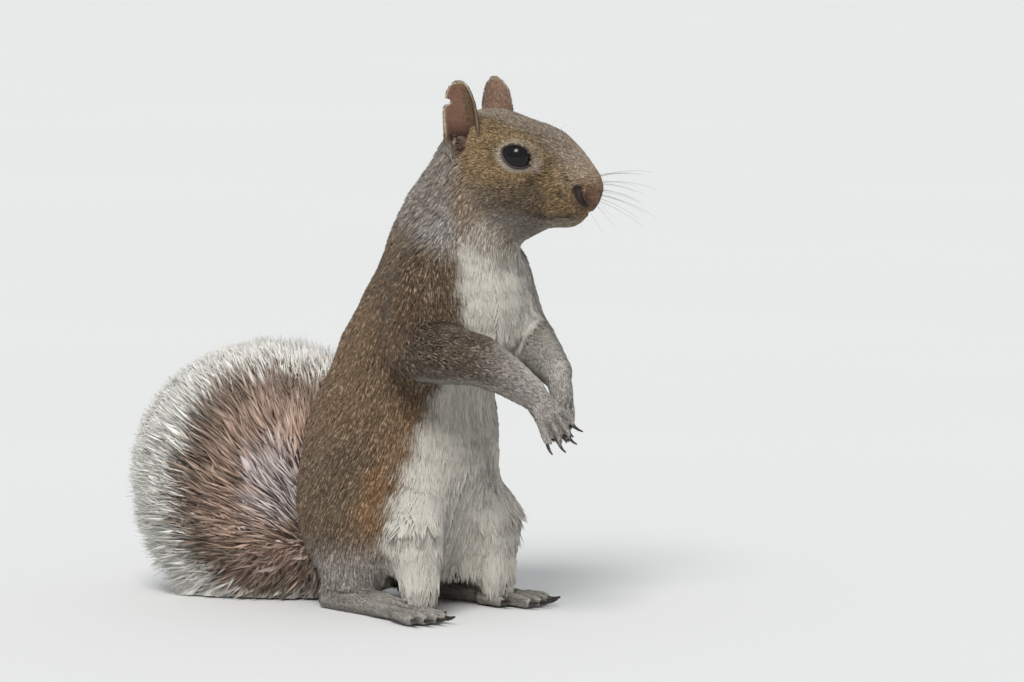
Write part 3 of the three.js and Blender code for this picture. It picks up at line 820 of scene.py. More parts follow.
    def part_digits(self) -> None:
        """Sinks the skin between neighbouring fingers and toes."""
        shell = self.shell
        local_sink = np.zeros(len(shell.points))
        for kind, count, depth, stretch in (("hand", 4, 1.5, 1.4), ("foot", 5, 1.2, 0.8)):
            for side in SIDES:
                share = self.shares[:, REGIONS.index(f"{kind}_{side}")]
                mine = np.flatnonzero(share > 0.5)
                tips = np.array([middle_of(f"claw_{kind}_{side}_{i + 1}") for i in range(count)])
                middle = middle_of(f"{kind}_{side}")
                way = unit(tips.mean(0) - middle)
                across = unit(tips[-1] - tips[0] - way * ((tips[-1] - tips[0]) @ way))
                points = shell.points[mine]
                reach = float((tips - middle).mean(0) @ way)
                run = (points - middle) @ way / reach
                at = (points - middle) @ across
                lines = (tips - middle) @ across
                narrow = blend(0.62, 1.0, np.clip(run, 0, 1))
                between = (lines[1:] + lines[:-1]) / 2
                gap = np.abs(at[:, None] - between[None] * narrow[:, None]).min(1)
                spacing = float(np.abs(np.diff(lines)).mean())
                groove = np.clip(1 - (gap / (spacing * 0.32)) ** 2, 0, 1) * ease(0.05, 0.4, run)
                local_sink[mine] = groove * depth
                shell.points[mine] += way * (ease(0.35, 0.95, run) * stretch * MM)[:, None]
        # The grooves' depths are kept so that the coat can darken them as painted shade.
        self.digit_gap = local_sink
        inward = unit(shell.spread(shell.normals(), 1))
        shell.points = shell.points - inward * (local_sink * MM)[:, None]


# ---------------------------------------------------------------- markings


# The dark share holds dark marks and painted shade.
MARKS = ("pale", "rufous", "grey", "ochre", "dark", "bare")


@dataclass
class Markings:
    """Where each colour lies, as a share at each point, for the skin and the coat alike; the dark share also
    holds painted shade.
    """

    # Half the angle round the trunk that the pale front takes, by height.
    border_height: tuple[float, ...] = (0, 30, 44, 57, 71, 80, 95, 111, 125, 137, 150, 158, 166)
    border_angle: tuple[float, ...] = (56, 53, 50, 46, 41, 38, 31, 27, 35, 41, 43, 28, 12)
    # How far back the trunk's middle lies, by height.
    middle_height: tuple[float, ...] = (30, 68, 98, 121, 143, 160)
    middle_back: tuple[float, ...] = (4, 1, -6, -22, -25, -30)

    def of(self, points: Array, normals: Array, shares: Array) -> dict[str, Array]:
        """The share of each marking.

        Args:
            points: Points of the skin.
            normals: The skin's normals there.
            shares: How much each point belongs to each region.

        Returns:
            Shares from 0 to 1 by name.
        """
        x, y, z = trunk_local(points).T
        part = {kind: share_of(shares, kind) for kind in PELTS}
        back = np.interp(z, self.middle_height, self.middle_back)
        angle = np.degrees(np.arctan2(np.abs(x), back - y))
        edge = np.interp(z, self.border_height, self.border_angle)
        edge = edge + 30 * ease(0, 10, x) * ease(86, 100, z) * ease(152, 138, z)
        ragged = 2.2 * np.sin(z * 0.55 + np.abs(x) * 0.4) + 1.8 * np.sin(z * 1.3 + 1.3)
        ragged = ragged + 1.2 * np.sin(z * 2.9)
        offset = edge + ragged - angle
        trunk = part["neck"] + part["chest"] + part["abdomen"] + part["thigh"] + part["shin"]
        pale = ease(-6.5, 5.0, offset) * ease(0.35, 0.7, trunk)
        pale = pale * blend(1.0, 0.3, ease(148, 158, z + np.clip(10 - np.abs(x), 0, 10) * 0.7))
        inward = -np.sign(x) * normals[:, 0] * 0.6 - normals[:, 1] * 0.8
        # The pale inner side of the arms is the fur's own colour; the side offset, which makes the far left
        # arm paler and the near right arm darker, is painted light and shade.
        inward = ease(0, 0.45, inward + np.where(x > 0, 0.3, -0.35))
        inner = np.maximum(ease(0.35, 0.9, -normals[:, 2]) * 0.6, inward * 0.85) * part["forearm"]
        inner = inner + inward * part["upper_arm"] * 0.9
        foot = part["foot"] * 0.55 + part["hand"] * 0.25
        pale = np.clip(pale + inner + foot, 0, 1)
        low_flank = (ease(112, 80, z) * 0.35 + ease(80, 58, z) * 0.65) * ease(30, 46, z)
        rufous = np.exp(-(((offset + 12) / 12) ** 2)) * low_flank
        rufous = rufous * (part["abdomen"] + part["thigh"] + part["shin"]) * 0.52
        flank = (part["abdomen"] + part["chest"] + part["upper_arm"]) * ease(150, 120, z)
        flank = flank * ease(30, 60, z) * 0.35
        brown = part["upper_arm"] * 0.5
        grey = part["neck"] * ease(172, 150, z) * ease(75, 35, angle - edge)
        wrist = ease(-56, -80, y)
        forearm = part["forearm"] * np.maximum(wrist, 0.15)
        pale = np.clip(pale + part["forearm"] * ease(-64, -88, y) * 0.2, 0, 1)
        under = part["neck"] * ease(60, 40, angle) * 0.4
        grey = np.clip(grey + part["neck"] * 0.6 - under + forearm + part["hand"] * 0.9 + part["foot"], 0, 1)
        grey = np.maximum(grey, part["shin"] * ease(40, 24, z) * 0.8 + part["thigh"] * ease(40, 24, z) * 0.7)
        face = self.face(points, part["head"])
        # Painted shade: the upper arms, the forearms towards the elbows and the upper front of the chest are
        # darkened where shade falls.
        dark = part["upper_arm"] * 0.4 + part["forearm"] * (1 - wrist) * 0.4
        dark = (dark + part["chest"] * ease(150, 132, z) * ease(0, -24, y) * 0.4) * (1 - pale)
        return {
            "pale": np.clip(pale * (1 - part["head"]) + face["pale"], 0, 1),
            "rufous": np.clip(rufous + flank * 0.5 + brown * 0.2 + face["rufous"], 0, 1) * (1 - pale * 0.85),
            "grey": np.clip(grey * (1 - part["head"]) + face["grey"], 0, 1),
            "ochre": np.clip(face["ochre"] + under, 0, 1),
            "dark": np.clip(face["dark"] + dark, 0, 1),
            "bare": face["bare"],
        }

    @staticmethod
    def face(points: Array, head: Array) -> dict[str, Array]:
        """The head's markings, from its own axes, with painted shade in the nostrils and at the ear's base.

        Args:
            points: Points of the skin.
            head: How much each belongs to the head.

        Returns:
            Shares from 0 to 1 by name.
        """
        s, side, up = HEAD.local(points).T
        out = np.abs(side)
        crown = ease(2, 10, up + 0.5 * np.clip(s, 0, 30)) * ease(13, 6, out)
        ring, rim = np.zeros(len(s)), np.zeros(len(s))
        for eye_side in SIDES:
            past, reach, high = Opening(eye_side).beyond(points)
            past = past + 200 * ease(12 * MM, EYE_ZONE, reach)
            broad = blend(16, 29, ease(0.1, 0.9, high))
            ring = np.maximum(ring, ease(broad + 6, broad - 5, past) * blend(0.6, 0.3, ease(-0.2, 0.5, high)))
            rim = np.maximum(rim, ease(6.5, 4.5, past))
        chin = ease(-18.5, -23.5, up + 0.1 * s)
        throat = ease(6, -4, s) * ease(-13, -24, up + 0.4 * s)
        jowl = ease(-6, -18, up) * ease(16, 8, s) * ease(-17, -8, s)
        streak, _ = line_gap(np.stack([s, up], 1), [(16, -1), (12, -5), (7.5, -9.5)])
        streak = ease(3.2, 0.6, streak) * 0.42
        spots = ((21, -8.2, 2.2), (18.8, -14, 2.4))
        pads = sum(ease(r, r * 0.35, np.hypot(s - a, up - b)) for a, b, r in spots)
        lips = ease(1.6, 0.5, line_gap(np.stack([s, up], 1), list(LIPS.line))[0])
        nose = ease(27.0, 28.6, s) * ease(-20.5, -19, up) * ease(-9.5, -12.5, up)
        nostril = ease(0.05, 0.45, NOSTRIL.share(HEAD.local(points)))
        cup = ease(0.1, 0.4, CONCHA.share(HEAD.local(points)))
        nape = ease(-15, -24, s + 0.25 * up)
        lower = ease(12, 18, s) * ease(-7, -12, up)
        # Painted shade round the nostrils' lower ends.
        painted_shade_under_nose = ease(3.4, 1.0, np.hypot(s - 26.6, (up + 17.2) * 0.8)) * ease(1, 4, out)
        muzzle = ease(8, 20, s) * ease(3, -4, up - 4 + 0.35 * (s - 8))
        bridge = ease(14, 24, s) * ease(-14, -6, up)
        cheek = ease(-5, -14, up) * ease(18, 8, s)
        red = ring * 0.85 + bridge * 0.45 + muzzle * 0.1 + ease(25, 28, s) * 0.3
        ochre = (1 - 0.6 * crown) * (1 - nape) * (1 - 0.6 * chin) * (1 - 0.6 * cheek)
        smudges = (streak + pads * 0.5 + jowl * 0.36 + lower * 0.2 + lips * 0.4) * ease(2, 5, out)
        # Painted shade darkens the nostrils, round their lower ends and the cup at the ear's base; the rim
        # next to the lids is their own dark skin.
        rim_and_painted_hollow_shade = rim + nostril * 0.95 + painted_shade_under_nose * 0.5 + cup * 0.55
        return {
            "pale": np.clip(chin * 0.3 + throat * 0.12 + ring + bridge * 0.3, 0, 1) * head,
            "rufous": np.clip(red, 0, 1) * head * (1 - chin),
            "grey": np.clip(nape + crown * 0.78 + throat * 0.4 + cheek * 0.2, 0, 1) * head * (1 - ring),
            "ochre": np.clip(ochre, 0, 1) * head,
            "dark": np.clip(smudges, 0, 1) * head + np.clip(rim_and_painted_hollow_shade, 0, 1) * head,
            "bare": np.clip(nose * 0.8 + nostril + cup, 0, 1) * head,
        }


# ---------------------------------------------------------------- finishes


def tint(red: int, green: int, blue: int) -> tuple[float, float, float, float]:
    """A screen colour from 0 to 255 as the linear colour that shaders take.

    Args:
        red: The red part.
        green: The green part.
        blue: The blue part.

    Returns:
        Red, green, blue and a full alpha.
    """
    share = [c / 255 for c in (red, green, blue)]
    linear = [c / 12.92 if c <= 0.04045 else ((c + 0.055) / 1.055) ** 2.4 for c in share]
    return (*linear, 1.0)


class Signal:
    """One output of a shader node. Arithmetic on it adds Math nodes."""

    def __init__(self, bench: "Bench", socket: bpy.types.NodeSocket) -> None:
        """Wraps a socket of a bench's tree."""
        self.bench = bench
        self.socket = socket

    def math(self, operation: str, *values: "Signal | float") -> "Signal":
        """The result of a Math node on this signal and other values."""
        inputs = dict(enumerate([self, *values]))
        return self.bench.node("ShaderNodeMath", {"operation": operation}, inputs)

    def __add__(self, other: "Signal | float") -> "Signal":
        """Self plus other."""
        return self.math("ADD", other)

    __radd__ = __add__

    def __sub__(self, other: "Signal | float") -> "Signal":
        """Self less other."""
        return self.math("SUBTRACT", other)

    def __rsub__(self, other: float) -> "Signal":
        """Other less self."""
        return self.bench.node("ShaderNodeMath", {"operation": "SUBTRACT"}, {0: other, 1: self})

    def __mul__(self, other: "Signal | float") -> "Signal":
        """Self times other."""
        return self.math("MULTIPLY", other)

    __rmul__ = __mul__

    def ease(self, low: float, high: float) -> "Signal":
        """Rises smoothly from 0 where this is low to 1 where it is high.

        Args:
            low: Where the result is 0.
            high: Where it is 1.

        Returns:
            The eased signal.
        """
        settings = {"interpolation_type": "SMOOTHSTEP"}
        inputs = {"Value": self, "From Min": low, "From Max": high}
        return self.bench.node("ShaderNodeMapRange", settings, inputs)


Colour = "Signal | tuple[float, float, float, float]"


class Bench:
    """Builds one material's node tree."""

    def __init__(self, name: str) -> None:
        """Starts a material with a Principled shader and its output.

        Args:
            name: The material's name.
        """
        self.material = bpy.data.materials.new(name)
        self.material.use_nodes = True
        self.tree = self.material.node_tree
        self.shader = self.tree.nodes["Principled BSDF"]

    def node(self, kind: str, settings: dict, inputs: dict, output: int | str = 0) -> Signal:
        """Adds a node.

        Args:
            kind: The node's type.
            settings: Its properties, set first.
            inputs: Values or signals by socket name or number.
            output: The output to return.

        Returns:
            That output.
        """
        made = self.tree.nodes.new(kind)
        for key, value in settings.items():
            setattr(made, key, value)
        for key, value in inputs.items():
            self.feed(made.inputs[key], value)
        return Signal(self, made.outputs[output])

    def feed(self, socket: bpy.types.NodeSocket, value: object) -> None:
        """Links a signal to a socket, or sets the socket's own value.

        Args:
            socket: The socket.
            value: A signal, or a value of the socket's own kind.
        """
        if isinstance(value, Signal):
            self.tree.links.new(value.socket, socket)
        else:
            socket.default_value = value

    def value(self, name: str) -> Signal:
        """A number stored on the mesh."""
        return self.node("ShaderNodeAttribute", {"attribute_name": name}, {}, "Fac")

    def mix(self, share: "Signal | float", a: Colour, b: Colour) -> Signal:
        """The colour between a and b."""
        return self.node("ShaderNodeMix", {"data_type": "RGBA"}, {"Factor": share, 6: a, 7: b}, 2)

    def scaled(self, colour: Colour, by: "Signal | float") -> Signal:
        """A colour made lighter or darker."""
        base = colour if isinstance(colour, Signal) else colour[:3]
        return self.node("ShaderNodeVectorMath", {"operation": "SCALE"}, {0: base, "Scale": by})

    def noise(self, size: float, detail: float = 2.0) -> Signal:
        """Even noise from 0 to 1, with spots of about the given size in metres."""
        place = self.node("ShaderNodeTexCoord", {}, {}, "Object")
        return self.node("ShaderNodeTexNoise", {}, {"Vector": place, "Scale": 1 / size, "Detail": detail})

    def bump(self, height: Signal, depth: float) -> Signal:
        """A surface normal from a height."""
        return self.node("ShaderNodeBump", {}, {"Strength": 1.0, "Distance": depth, "Height": height})

    def finish(self, **sockets: object) -> bpy.types.Material:
        """Sets the shader's sockets, whose names are written with underscores.

        Args:
            **sockets: A value or a signal for each socket.

        Returns:
            The material.
        """
        for key, value in sockets.items():
            self.feed(self.shader.inputs[key.replace("_", " ")], value)
        return self.material


@dataclass(frozen=True)
class CoatColours:
    """The colours of the coat."""

    back: tuple = tint(111, 93, 73)
    grey: tuple = tint(160, 153, 147)
    rufous: tuple = tint(156, 116, 76)
    ochre: tuple = tint(150, 126, 92)
    pale: tuple = tint(204, 199, 188)
    # Dark marks, and painted shade on the arms, upper chest, between digits, in the nostrils and in the ears'
    # cups.
    dark: tuple = tint(52, 40, 32)
    bare: tuple = tint(112, 78, 62)

    def mixed(self, bench: Bench) -> Signal:
        """The colour of the markings at each point.

        Args:
            bench: The material's bench.

        Returns:
            The colour.
        """
        colour = bench.mix(bench.value("grey"), self.back, self.grey)
        colour = bench.mix(bench.value("ochre"), colour, self.ochre)
        colour = bench.mix(bench.value("rufous"), colour, self.rufous)
        colour = bench.mix(bench.value("pale"), colour, self.pale)
        colour = bench.mix(bench.value("bare"), colour, self.bare)
        # The dark share adds real dark marks and painted shade.
        return bench.mix(bench.value("dark"), colour, self.dark)


@dataclass(frozen=True)
class SkinFinish:
    """The skin, in the shade of the coat that covers it."""

    colours: CoatColours = CoatColours()
    shade: float = 0.55

    def material(self) -> bpy.types.Material:
        """Builds the material.

        Returns:
            The material.
        """
        bench = Bench("skin")
        colour = self.colours.mixed(bench)
        bare, pale = bench.value("bare"), bench.value("pale")
        grain = bench.noise(0.5 * MM, 3)
        lightness = (1 - bare) * (pale * 0.3 + self.shade) + bare
        colour = bench.scaled(colour, lightness * (0.75 + grain * 0.5))
        bump = bench.bump(grain, 0.15 * MM)
        return bench.finish(Base_Color=colour, Roughness=0.75 - bare * 0.2, Normal=bump)


@dataclass(frozen=True)
class HairFinish:
    """Short hair: each tuft has its own lightness, with a dark root and a banded tip."""

    name: str = "coat"
    colours: CoatColours = CoatColours()
    roughness: float = 0.62
    fleck_size: float = 1.3 * MM

    def material(self) -> bpy.types.Material:
        """Builds the material.

        Returns:
            The material.
        """
        bench = Bench(self.name)
        strand, tone, pale = bench.value("strand"), bench.value("tone"), bench.value("pale")
        colour = self.colours.mixed(bench)
        band = strand.ease(0.2, 0.6) * (1 - strand.ease(0.85, 1.0) * 0.45)
        ground = 0.62 + band * 0.42
        patchy = bench.noise(self.fleck_size, 2).ease(0.34, 0.66)
        mixed = tone * 0.68 + patchy * 0.32
        fleck = mixed.ease(0.12, 0.5) * 0.55 + mixed.ease(0.62, 0.95) * 0.85 + 0.5
        soft = 0.78 + strand * 0.2 + tone * 0.12
        lightness = (ground * fleck) * (1 - pale) + soft * pale
        made = bench.scaled(colour, lightness)
        flecks = mixed.ease(0.66, 0.95) * band * (0.34 - bench.value("ochre") * 0.2)
        made = bench.mix(flecks, made, tint(206, 194, 172))
        bench.shader.inputs["Sheen Weight"].default_value = 0.08
        return bench.finish(Base_Color=made, Roughness=self.roughness, Specular_IOR_Level=0.25)


@dataclass(frozen=True)
class TailFinish:
    """Long tail hair, banded round the middle of the curl: mauve, red brown, a dark band, then white tips."""

    mauve: tuple = tint(210, 197, 193)
    brown: tuple = tint(190, 164, 146)
    streak: tuple = tint(128, 110, 100)
    band: tuple = tint(106, 95, 84)
    white: tuple = tint(236, 234, 227)

    def material(self) -> bpy.types.Material:
        """Builds the material.

        Returns:
            The material.
        """
        bench = Bench("tail_hair")
        strand, tone, ring = bench.value("strand"), bench.value("tone"), bench.value("ring")
        other = bench.value("other")
        at = ring + (other - 0.5) * 11
        colour = bench.mix(at.ease(13, 21), self.mauve, self.brown)
        streaks = tone.ease(0.62, 0.7) * (1 - tone.ease(0.86, 0.9))
        colour = bench.mix(streaks * 0.6, colour, self.streak)
        colour = bench.mix(tone.ease(0.9, 0.94) * strand.ease(0.4, 0.8) * 0.6, colour, self.white)
        colour = bench.mix(at.ease(32, 40) * (0.35 + tone * 0.5), colour, self.band)
        tip = strand.ease(0.2, 0.5) * (0.72 + tone.ease(0, 0.5) * 0.28)
        colour = bench.mix(at.ease(43, 51) * tip, colour, self.white)
        colour = bench.mix(at.ease(54, 62) * 0.8, colour, self.white)
        colour = bench.scaled(colour, 0.85 + other * 0.26 + strand * 0.14)
        return bench.finish(Base_Color=colour, Roughness=0.55, Specular_IOR_Level=0.3)


@dataclass(frozen=True)
class EarFinish:
    """Thin skin: red brown inside, with painted shade darkening the hollow, olive on the front fold, with a
    pale rim.
    """

    inside: tuple = tint(120, 86, 69)
    outside: tuple = tint(134, 104, 88)
    fold: tuple = tint(104, 88, 62)
    # Painted shade in the ear's cup.
    hollow: tuple = tint(64, 32, 26)
    rim: tuple = tint(196, 180, 148)

    def material(self) -> bpy.types.Material:
        """Builds the material.

        Returns:
            The material.
        """
        bench = Bench("ear")
        grain = bench.noise(0.7 * MM, 3)
        colour = bench.mix(bench.value("inner"), self.outside, self.inside)
        colour = bench.mix(bench.value("hollow"), colour, self.hollow)
        colour = bench.mix(bench.value("fold"), colour, self.fold)
        colour = bench.mix(bench.value("rim"), colour, self.rim)
        colour = bench.scaled(colour, 0.82 + grain * 0.36)
        return bench.finish(Base_Color=colour, Roughness=0.72, Normal=bench.bump(grain, 0.1 * MM))


@dataclass(frozen=True)
class PlainFinish:
    """A finish of one colour with a faint grain."""

    name: str
    colour: tuple
    roughness: float
    coat: float = 0.0
    grain: float = 0.3  # how much the colour varies
    size: float = 0.5 * MM

    def material(self) -> bpy.types.Material:
        """Builds the material.

        Returns:
            The material.
        """
        bench = Bench(self.name)
        grain = bench.noise(self.size)
        colour = bench.scaled(self.colour, (1 - self.grain / 2) + grain * self.grain)
        return bench.finish(Base_Color=colour, Roughness=self.roughness, Coat_Weight=self.coat)


# ---------------------------------------------------------------- coat


class Form(Enum):
    """The shapes of a tuft: a flat wedge of four faces, or a ridged lance of six."""

    WEDGE = ((0, 2, 1), (3, 1, 2), (0, 1, 3), (0, 3, 2))
    LANCE = ((0, 4, 1), (0, 2, 4), (3, 1, 4), (3, 4, 2), (0, 1, 3), (0, 3, 2))

    @property
    def corners(self) -> int:
        """How many vertices the tuft has: root, left, right, tip and, on a lance, its ridge."""
        return 4 if self is Form.WEDGE else 5


PATCH = 0.003  # the breadth of one tuft's patch on the unwrap


@dataclass
class Tufts:
    """Many tufts, one row of each array for each."""

    root: Array
    middle: Array
    tip: Array
    side: Array  # across the tuft, as long as half its breadth
    normal: Array  # away from the skin
    place: Array  # the root's place on the unwrap, from 0 to 1
    values: dict[str, Array]
    strand_middle: float = 0.45

    def build(self, name: str, form: Form, lit_by_skin: float) -> bpy.types.Object:
        """Joins the tufts into one object.

        Args:
            name: The piece's name.
            form: The shape of each tuft.
            lit_by_skin: How far the tufts take the skin's normal for theirs.

        Returns:
            The object, with its unwrap and its values.
        """
        ridge = self.middle + self.normal * np.linalg.norm(self.side, axis=1, keepdims=True) * 0.7
        rows = [self.root, self.middle + self.side, self.middle - self.side, self.tip, ridge][: form.corners]
        points = np.stack(rows, 1).reshape(-1, 3)
        count = len(self.root)
        template = np.array(form.value)
        faces = (template[None] + np.arange(count)[:, None, None] * form.corners).reshape(-1, 3)
        made = Shell(points, faces).to_mesh(name)
        along = self.strand_middle
        strand = np.array([0.0, along, along, 1.0, along])[: form.corners]
        set_values(made, "strand", np.tile(strand, count))
        for key, value in self.values.items():
            set_values(made, key, np.repeat(value, form.corners))
        patch = np.array([[0.5, 0], [0, 0.45], [1, 0.45], [0.5, 1], [0.5, 0.45]])[: form.corners] - 0.5
        spots = (self.place[:, None] * (1 - 2 * PATCH) + PATCH + patch[None] * PATCH).reshape(-1, 2)
        layer = made.data.uv_layers.new(name="OFBake")
        layer.data.foreach_set("uv", spots[faces.ravel()].astype(np.float32).ravel())
        if lit_by_skin:
            across = unit(self.side)
            up = self.normal
            own = np.stack([up, up + across, up - across, up, up], 1)
            lit = unit(blend(unit(own[:, : form.corners]), self.normal[:, None], lit_by_skin))
            made.data.normals_split_custom_set_from_vertices(lit.reshape(-1, 3))
        return made


def interpolate(values: Array, corners: Array, weights: Array) -> Array:
    """Values at points inside triangles."""
    share = weights if values.ndim == 1 else weights[..., None]
    return (values[corners] * share).sum(1)


def hug(tree: BVHTree, points: Array, normals: Array, rise: Array) -> tuple[Array, Array]:
    """Lays points at a height over the skin, so that hair follows its curves.

    Args:
        tree: The skin.
        points: The points before they are raised.
        normals: The skin's normals at the hairs' roots.
        rise: The height over the skin.

    Returns:
        The raised points, and the ways that the skin faces under them.
    """
    place, face_normal, _ = nearest(tree, points)
    near = (np.linalg.norm(place - points, axis=1) < 5 * MM) & (dot(face_normal, normals) > 0.3)
    facing = np.where(near[:, None], unit(face_normal + normals), normals)
    raised = np.where(near[:, None], place, points) + facing * rise[:, None]
    return raised, np.where(near[:, None], face_normal, normals)


def gather(root: Array, tip: Array, share: Array, size: float) -> Array:
    """Draws the tips of neighbouring tufts together into locks.

    Args:
        root: The tufts' roots.
        tip: Their tips.
        share: How far each tip moves to its lock's middle.
        size: How broad a lock is, in metres.

    Returns:
        The moved tips.
    """
    cells = np.unique(np.floor(root / size).astype(np.int64), axis=0, return_inverse=True)[1].reshape(-1)
    count = np.bincount(cells)
    mean = np.stack([np.bincount(cells, tip[:, k]) / count for k in range(3)], 1)
    return blend(tip, mean[cells], share[:, None])


@dataclass
class Field:
    """How hair grows over a surface, for each of its vertices, in millimetres where it is a length."""

    shell: Shell
    way: Array
    rise: Array
    length: Array
    width: Array
    density: Array
    clump: Array
    marks: dict[str, Array]
    wander: float = 8.0  # degrees that a tuft strays from the lie of the coat

    def sow(self, rng: np.random.Generator) -> tuple[dict[str, Array], dict[str, Array], Array]:
        """Picks the roots and works out every tuft's shape.

        Args:
            rng: Where the chances come from.

        Returns:
            The tufts' shapes, the values that they carry, and the vertex nearest each root.
        """
        shell, faces = self.shell, self.shell.faces
        wanted = shell.areas() / MM**2 * self.density[faces].mean(1) * 1.0
        count = np.floor(wanted + rng.random(len(faces))).astype(int)
        face = np.repeat(np.arange(len(faces)), count)
        corners = faces[face]
        weights = rng.dirichlet((1, 1, 1), len(face))
        root = interpolate(shell.points, corners, weights)
        normal = unit(interpolate(unit(shell.spread(shell.normals(), 2)), corners, weights))
        way = interpolate(self.way, corners, weights)
        way = unit(way - normal * dot(way, normal)[:, None])
        side = np.cross(normal, way)
        stray = np.radians(rng.normal(0, self.wander, len(face)))[:, None]
        way = unit(way * np.cos(stray) + side * np.sin(stray))
        length = interpolate(self.length, corners, weights) * rng.uniform(0.7, 1.2, len(face)) * MM
        rise = interpolate(self.rise, corners, weights) * rng.uniform(0.7, 1.2, len(face)) * MM
        reach = np.sqrt(np.maximum(length**2 - rise**2, (0.5 * length) ** 2))
        tree = shell.tree()
        tip, tip_facing = hug(tree, root + way * reach[:, None], normal, rise)
        middle, middle_facing = hug(tree, root + way * reach[:, None] * 0.45, normal, rise * 0.7)
        clump = interpolate(self.clump, corners, weights)
        tip = gather(root, gather(root, tip, clump, 2.8 * MM), np.clip(clump - 0.3, 0, 1) * 1.1, 6.5 * MM)
        for points in (middle, tip):
            points[:, 2] = np.maximum(points[:, 2], 0.2 * MM)
        breadth = interpolate(self.width, corners, weights) * rng.uniform(0.7, 1.25, len(face)) * MM
        breadth = breadth * 1.0
        run = unit(tip - root)
        facing = unit(normal * 0.3 + middle_facing * 0.3 + tip_facing * 0.5)
        facing = unit(facing - run * dot(facing, run)[:, None])
        across = unit(np.cross(facing, run)) * breadth[:, None] / 2
        root = root - normal * 0.2 * MM
        sunken = dot(middle - (root + tip) / 2, facing) < 0  # keeps each closed tuft's faces looking out
        across[sunken] *= -1
        shape = {"root": root, "middle": middle, "tip": tip, "side": across, "normal": facing}
        values = {"tone": rng.random(len(face))}
        values |= {name: interpolate(mark, corners, weights) for name, mark in self.marks.items()}
        return shape, values, corners[np.arange(len(face)), weights.argmax(1)]


def unrolled(points: Array) -> Array:
    """Places points on a flat square, unrolled about the points' own long axis.

    Args:
        points: The points.

    Returns:
        Two numbers from 0 to 1 for each point.
    """
    centre = points.mean(0)
    axis = np.linalg.svd(points[::5] - centre, full_matrices=False)[2][0]
    first = unit(np.cross(axis, UP + 0.01))
    local = points - centre
    turn = np.arctan2(local @ np.cross(axis, first), local @ first) / (2 * math.pi) + 0.5
    height = local @ axis
    return np.stack([turn, (height - height.min()) / max(np.ptp(height), 1e-9)], 1)


@dataclass
class Coat:
    """The short coat, sown over the skin in pieces by part of the body and by side."""

    skin: Skin
    markings: Markings
    lock: tuple[float, float, float] = (13.0, -38.0, 69.0)  # where a long lock juts from the belly
    lock_length: float = 5.0  # how much longer its hair is
    lock_rise: float = 3.5  # how much further it stands off
    seed: int = 7

    def field(self) -> Field:
        """Works out the lie, length and markings at each vertex of the skin.

        Returns:
            How the coat grows.
        """
        shell, shares = self.skin.shell, self.skin.shares
        normals = unit(shell.spread(shell.normals(), 3))
        way = shares @ lie_of_coat()
        way = way - normals * dot(way, normals)[:, None]
        way = shell.spread(unit(way), 14)
        marks = self.markings.of(shell.points, normals, shares)
        # Painted shade: the coat is darkened in the grooves between fingers and toes.
        marks["dark"] = np.clip(marks["dark"] + self.skin.digit_gap * 0.4, 0, 1)
        pelt = {
            key: shares @ np.array([getattr(PELTS[kind_of(r)], key) for r in REGIONS])
            for key in ("length", "width", "density", "clump")
        }
        thin = Skin.thin_places(shell.points)
        on_head = share_of(shares, "head")
        paws = share_of(shares, "hand"), share_of(shares, "foot")
        silky = marks["pale"] * (1 - on_head) * (1 - paws[0] - paws[1])
        silky = silky * (1 - 0.7 * share_of(shares, "forearm"))
        length = pelt["length"] * (0.35 + 0.65 * thin) * (1 + 0.55 * silky)
        gap = np.linalg.norm(trunk_local(shell.points) - np.array(self.lock), axis=1)
        lock = ease(9, 1, gap)
        length = length + self.lock_length * lock
        return Field(
            shell=shell,
            way=way,
            rise=np.maximum(self.skin.depth / MM, 0.3) + self.lock_rise * lock,
            length=length,
            width=pelt["width"] * (1 - 0.2 * on_head * (1 - thin)),
            density=pelt["density"] * self.growth(shell.points, marks),
            clump=pelt["clump"] + 0.42 * silky,
            marks=marks,
        )

    @staticmethod
    def growth(points: Array, marks: dict[str, Array]) -> Array:
        """Where hair grows: 0 on bare skin and on the eyes' lids, 1 elsewhere.

        Args:
            points: Points of the skin.
            marks: The markings there.

        Returns:
            A factor for each point.
        """
        grown = 1 - ease(0.5, 0.95, marks["bare"])
        for side in SIDES:
            past, reach, _ = Opening(side).beyond(points)
            grown = grown * np.where(reach < EYE_ZONE, ease(4.0, 6.0, past), 1.0)
        local = HEAD.local(points)
        nostril_gap = line_gap(local[:, [0, 2]], list(NOSTRIL.line))[0]
        return grown * np.maximum(ease(0.8, 1.5, nostril_gap), ease(10, 12, np.abs(local[:, 1])))

    GROUPS = {
        "head": ("head",),
        "neck": ("neck",),
        "chest": ("chest",),
        "abdomen": ("abdomen", "tail"),
        "arm": ("upper_arm", "forearm"),
        "paws": ("hand", "foot"),
        "thigh": ("thigh",),
        "shin": ("shin",),
    }

    def build(self) -> list[bpy.types.Object]:
        """Makes the pieces of the coat.

        Returns:
            The pieces, already dressed.
        """
        grown = self.field()
        shape, values, vertex = grown.sow(np.random.default_rng(self.seed))
        kind = np.array([kind_of(r) for r in REGIONS])[self.skin.shares.argmax(1)][vertex]
        middle = (shape["root"] - HEAD.origin) @ HEAD.left
        side = np.where(kind == "head", middle, trunk_local(shape["root"])[:, 0] * MM)
        material = HairFinish().material()
        made = []
        for name, kinds in self.GROUPS.items():
            for side_name, sign in SIDES.items():
                picked = np.isin(kind, kinds) & ((side > 0) == (sign > 0))
                place = np.zeros((len(kind), 2))
                for number, one in enumerate(kinds):
                    mine = picked & (kind == one)
                    if mine.sum() > 50:
                        place[mine] = (unrolled(shape["root"][mine]) + [number, 0]) / [len(kinds), 1]
                rows = {k: v[picked] for k, v in shape.items()}
                tufts = Tufts(**rows, place=place[picked], values={k: v[picked] for k, v in values.items()})
                piece = tufts.build(f"coat_{name}_{side_name}", Form.WEDGE, 0.6)
                piece.data.materials.append(material)
                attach(piece, BODY)
                LOG.info("%s: %d tufts, %d triangles", piece.name, picked.sum(), len(piece.data.polygons))
                made.append(piece)
        return made


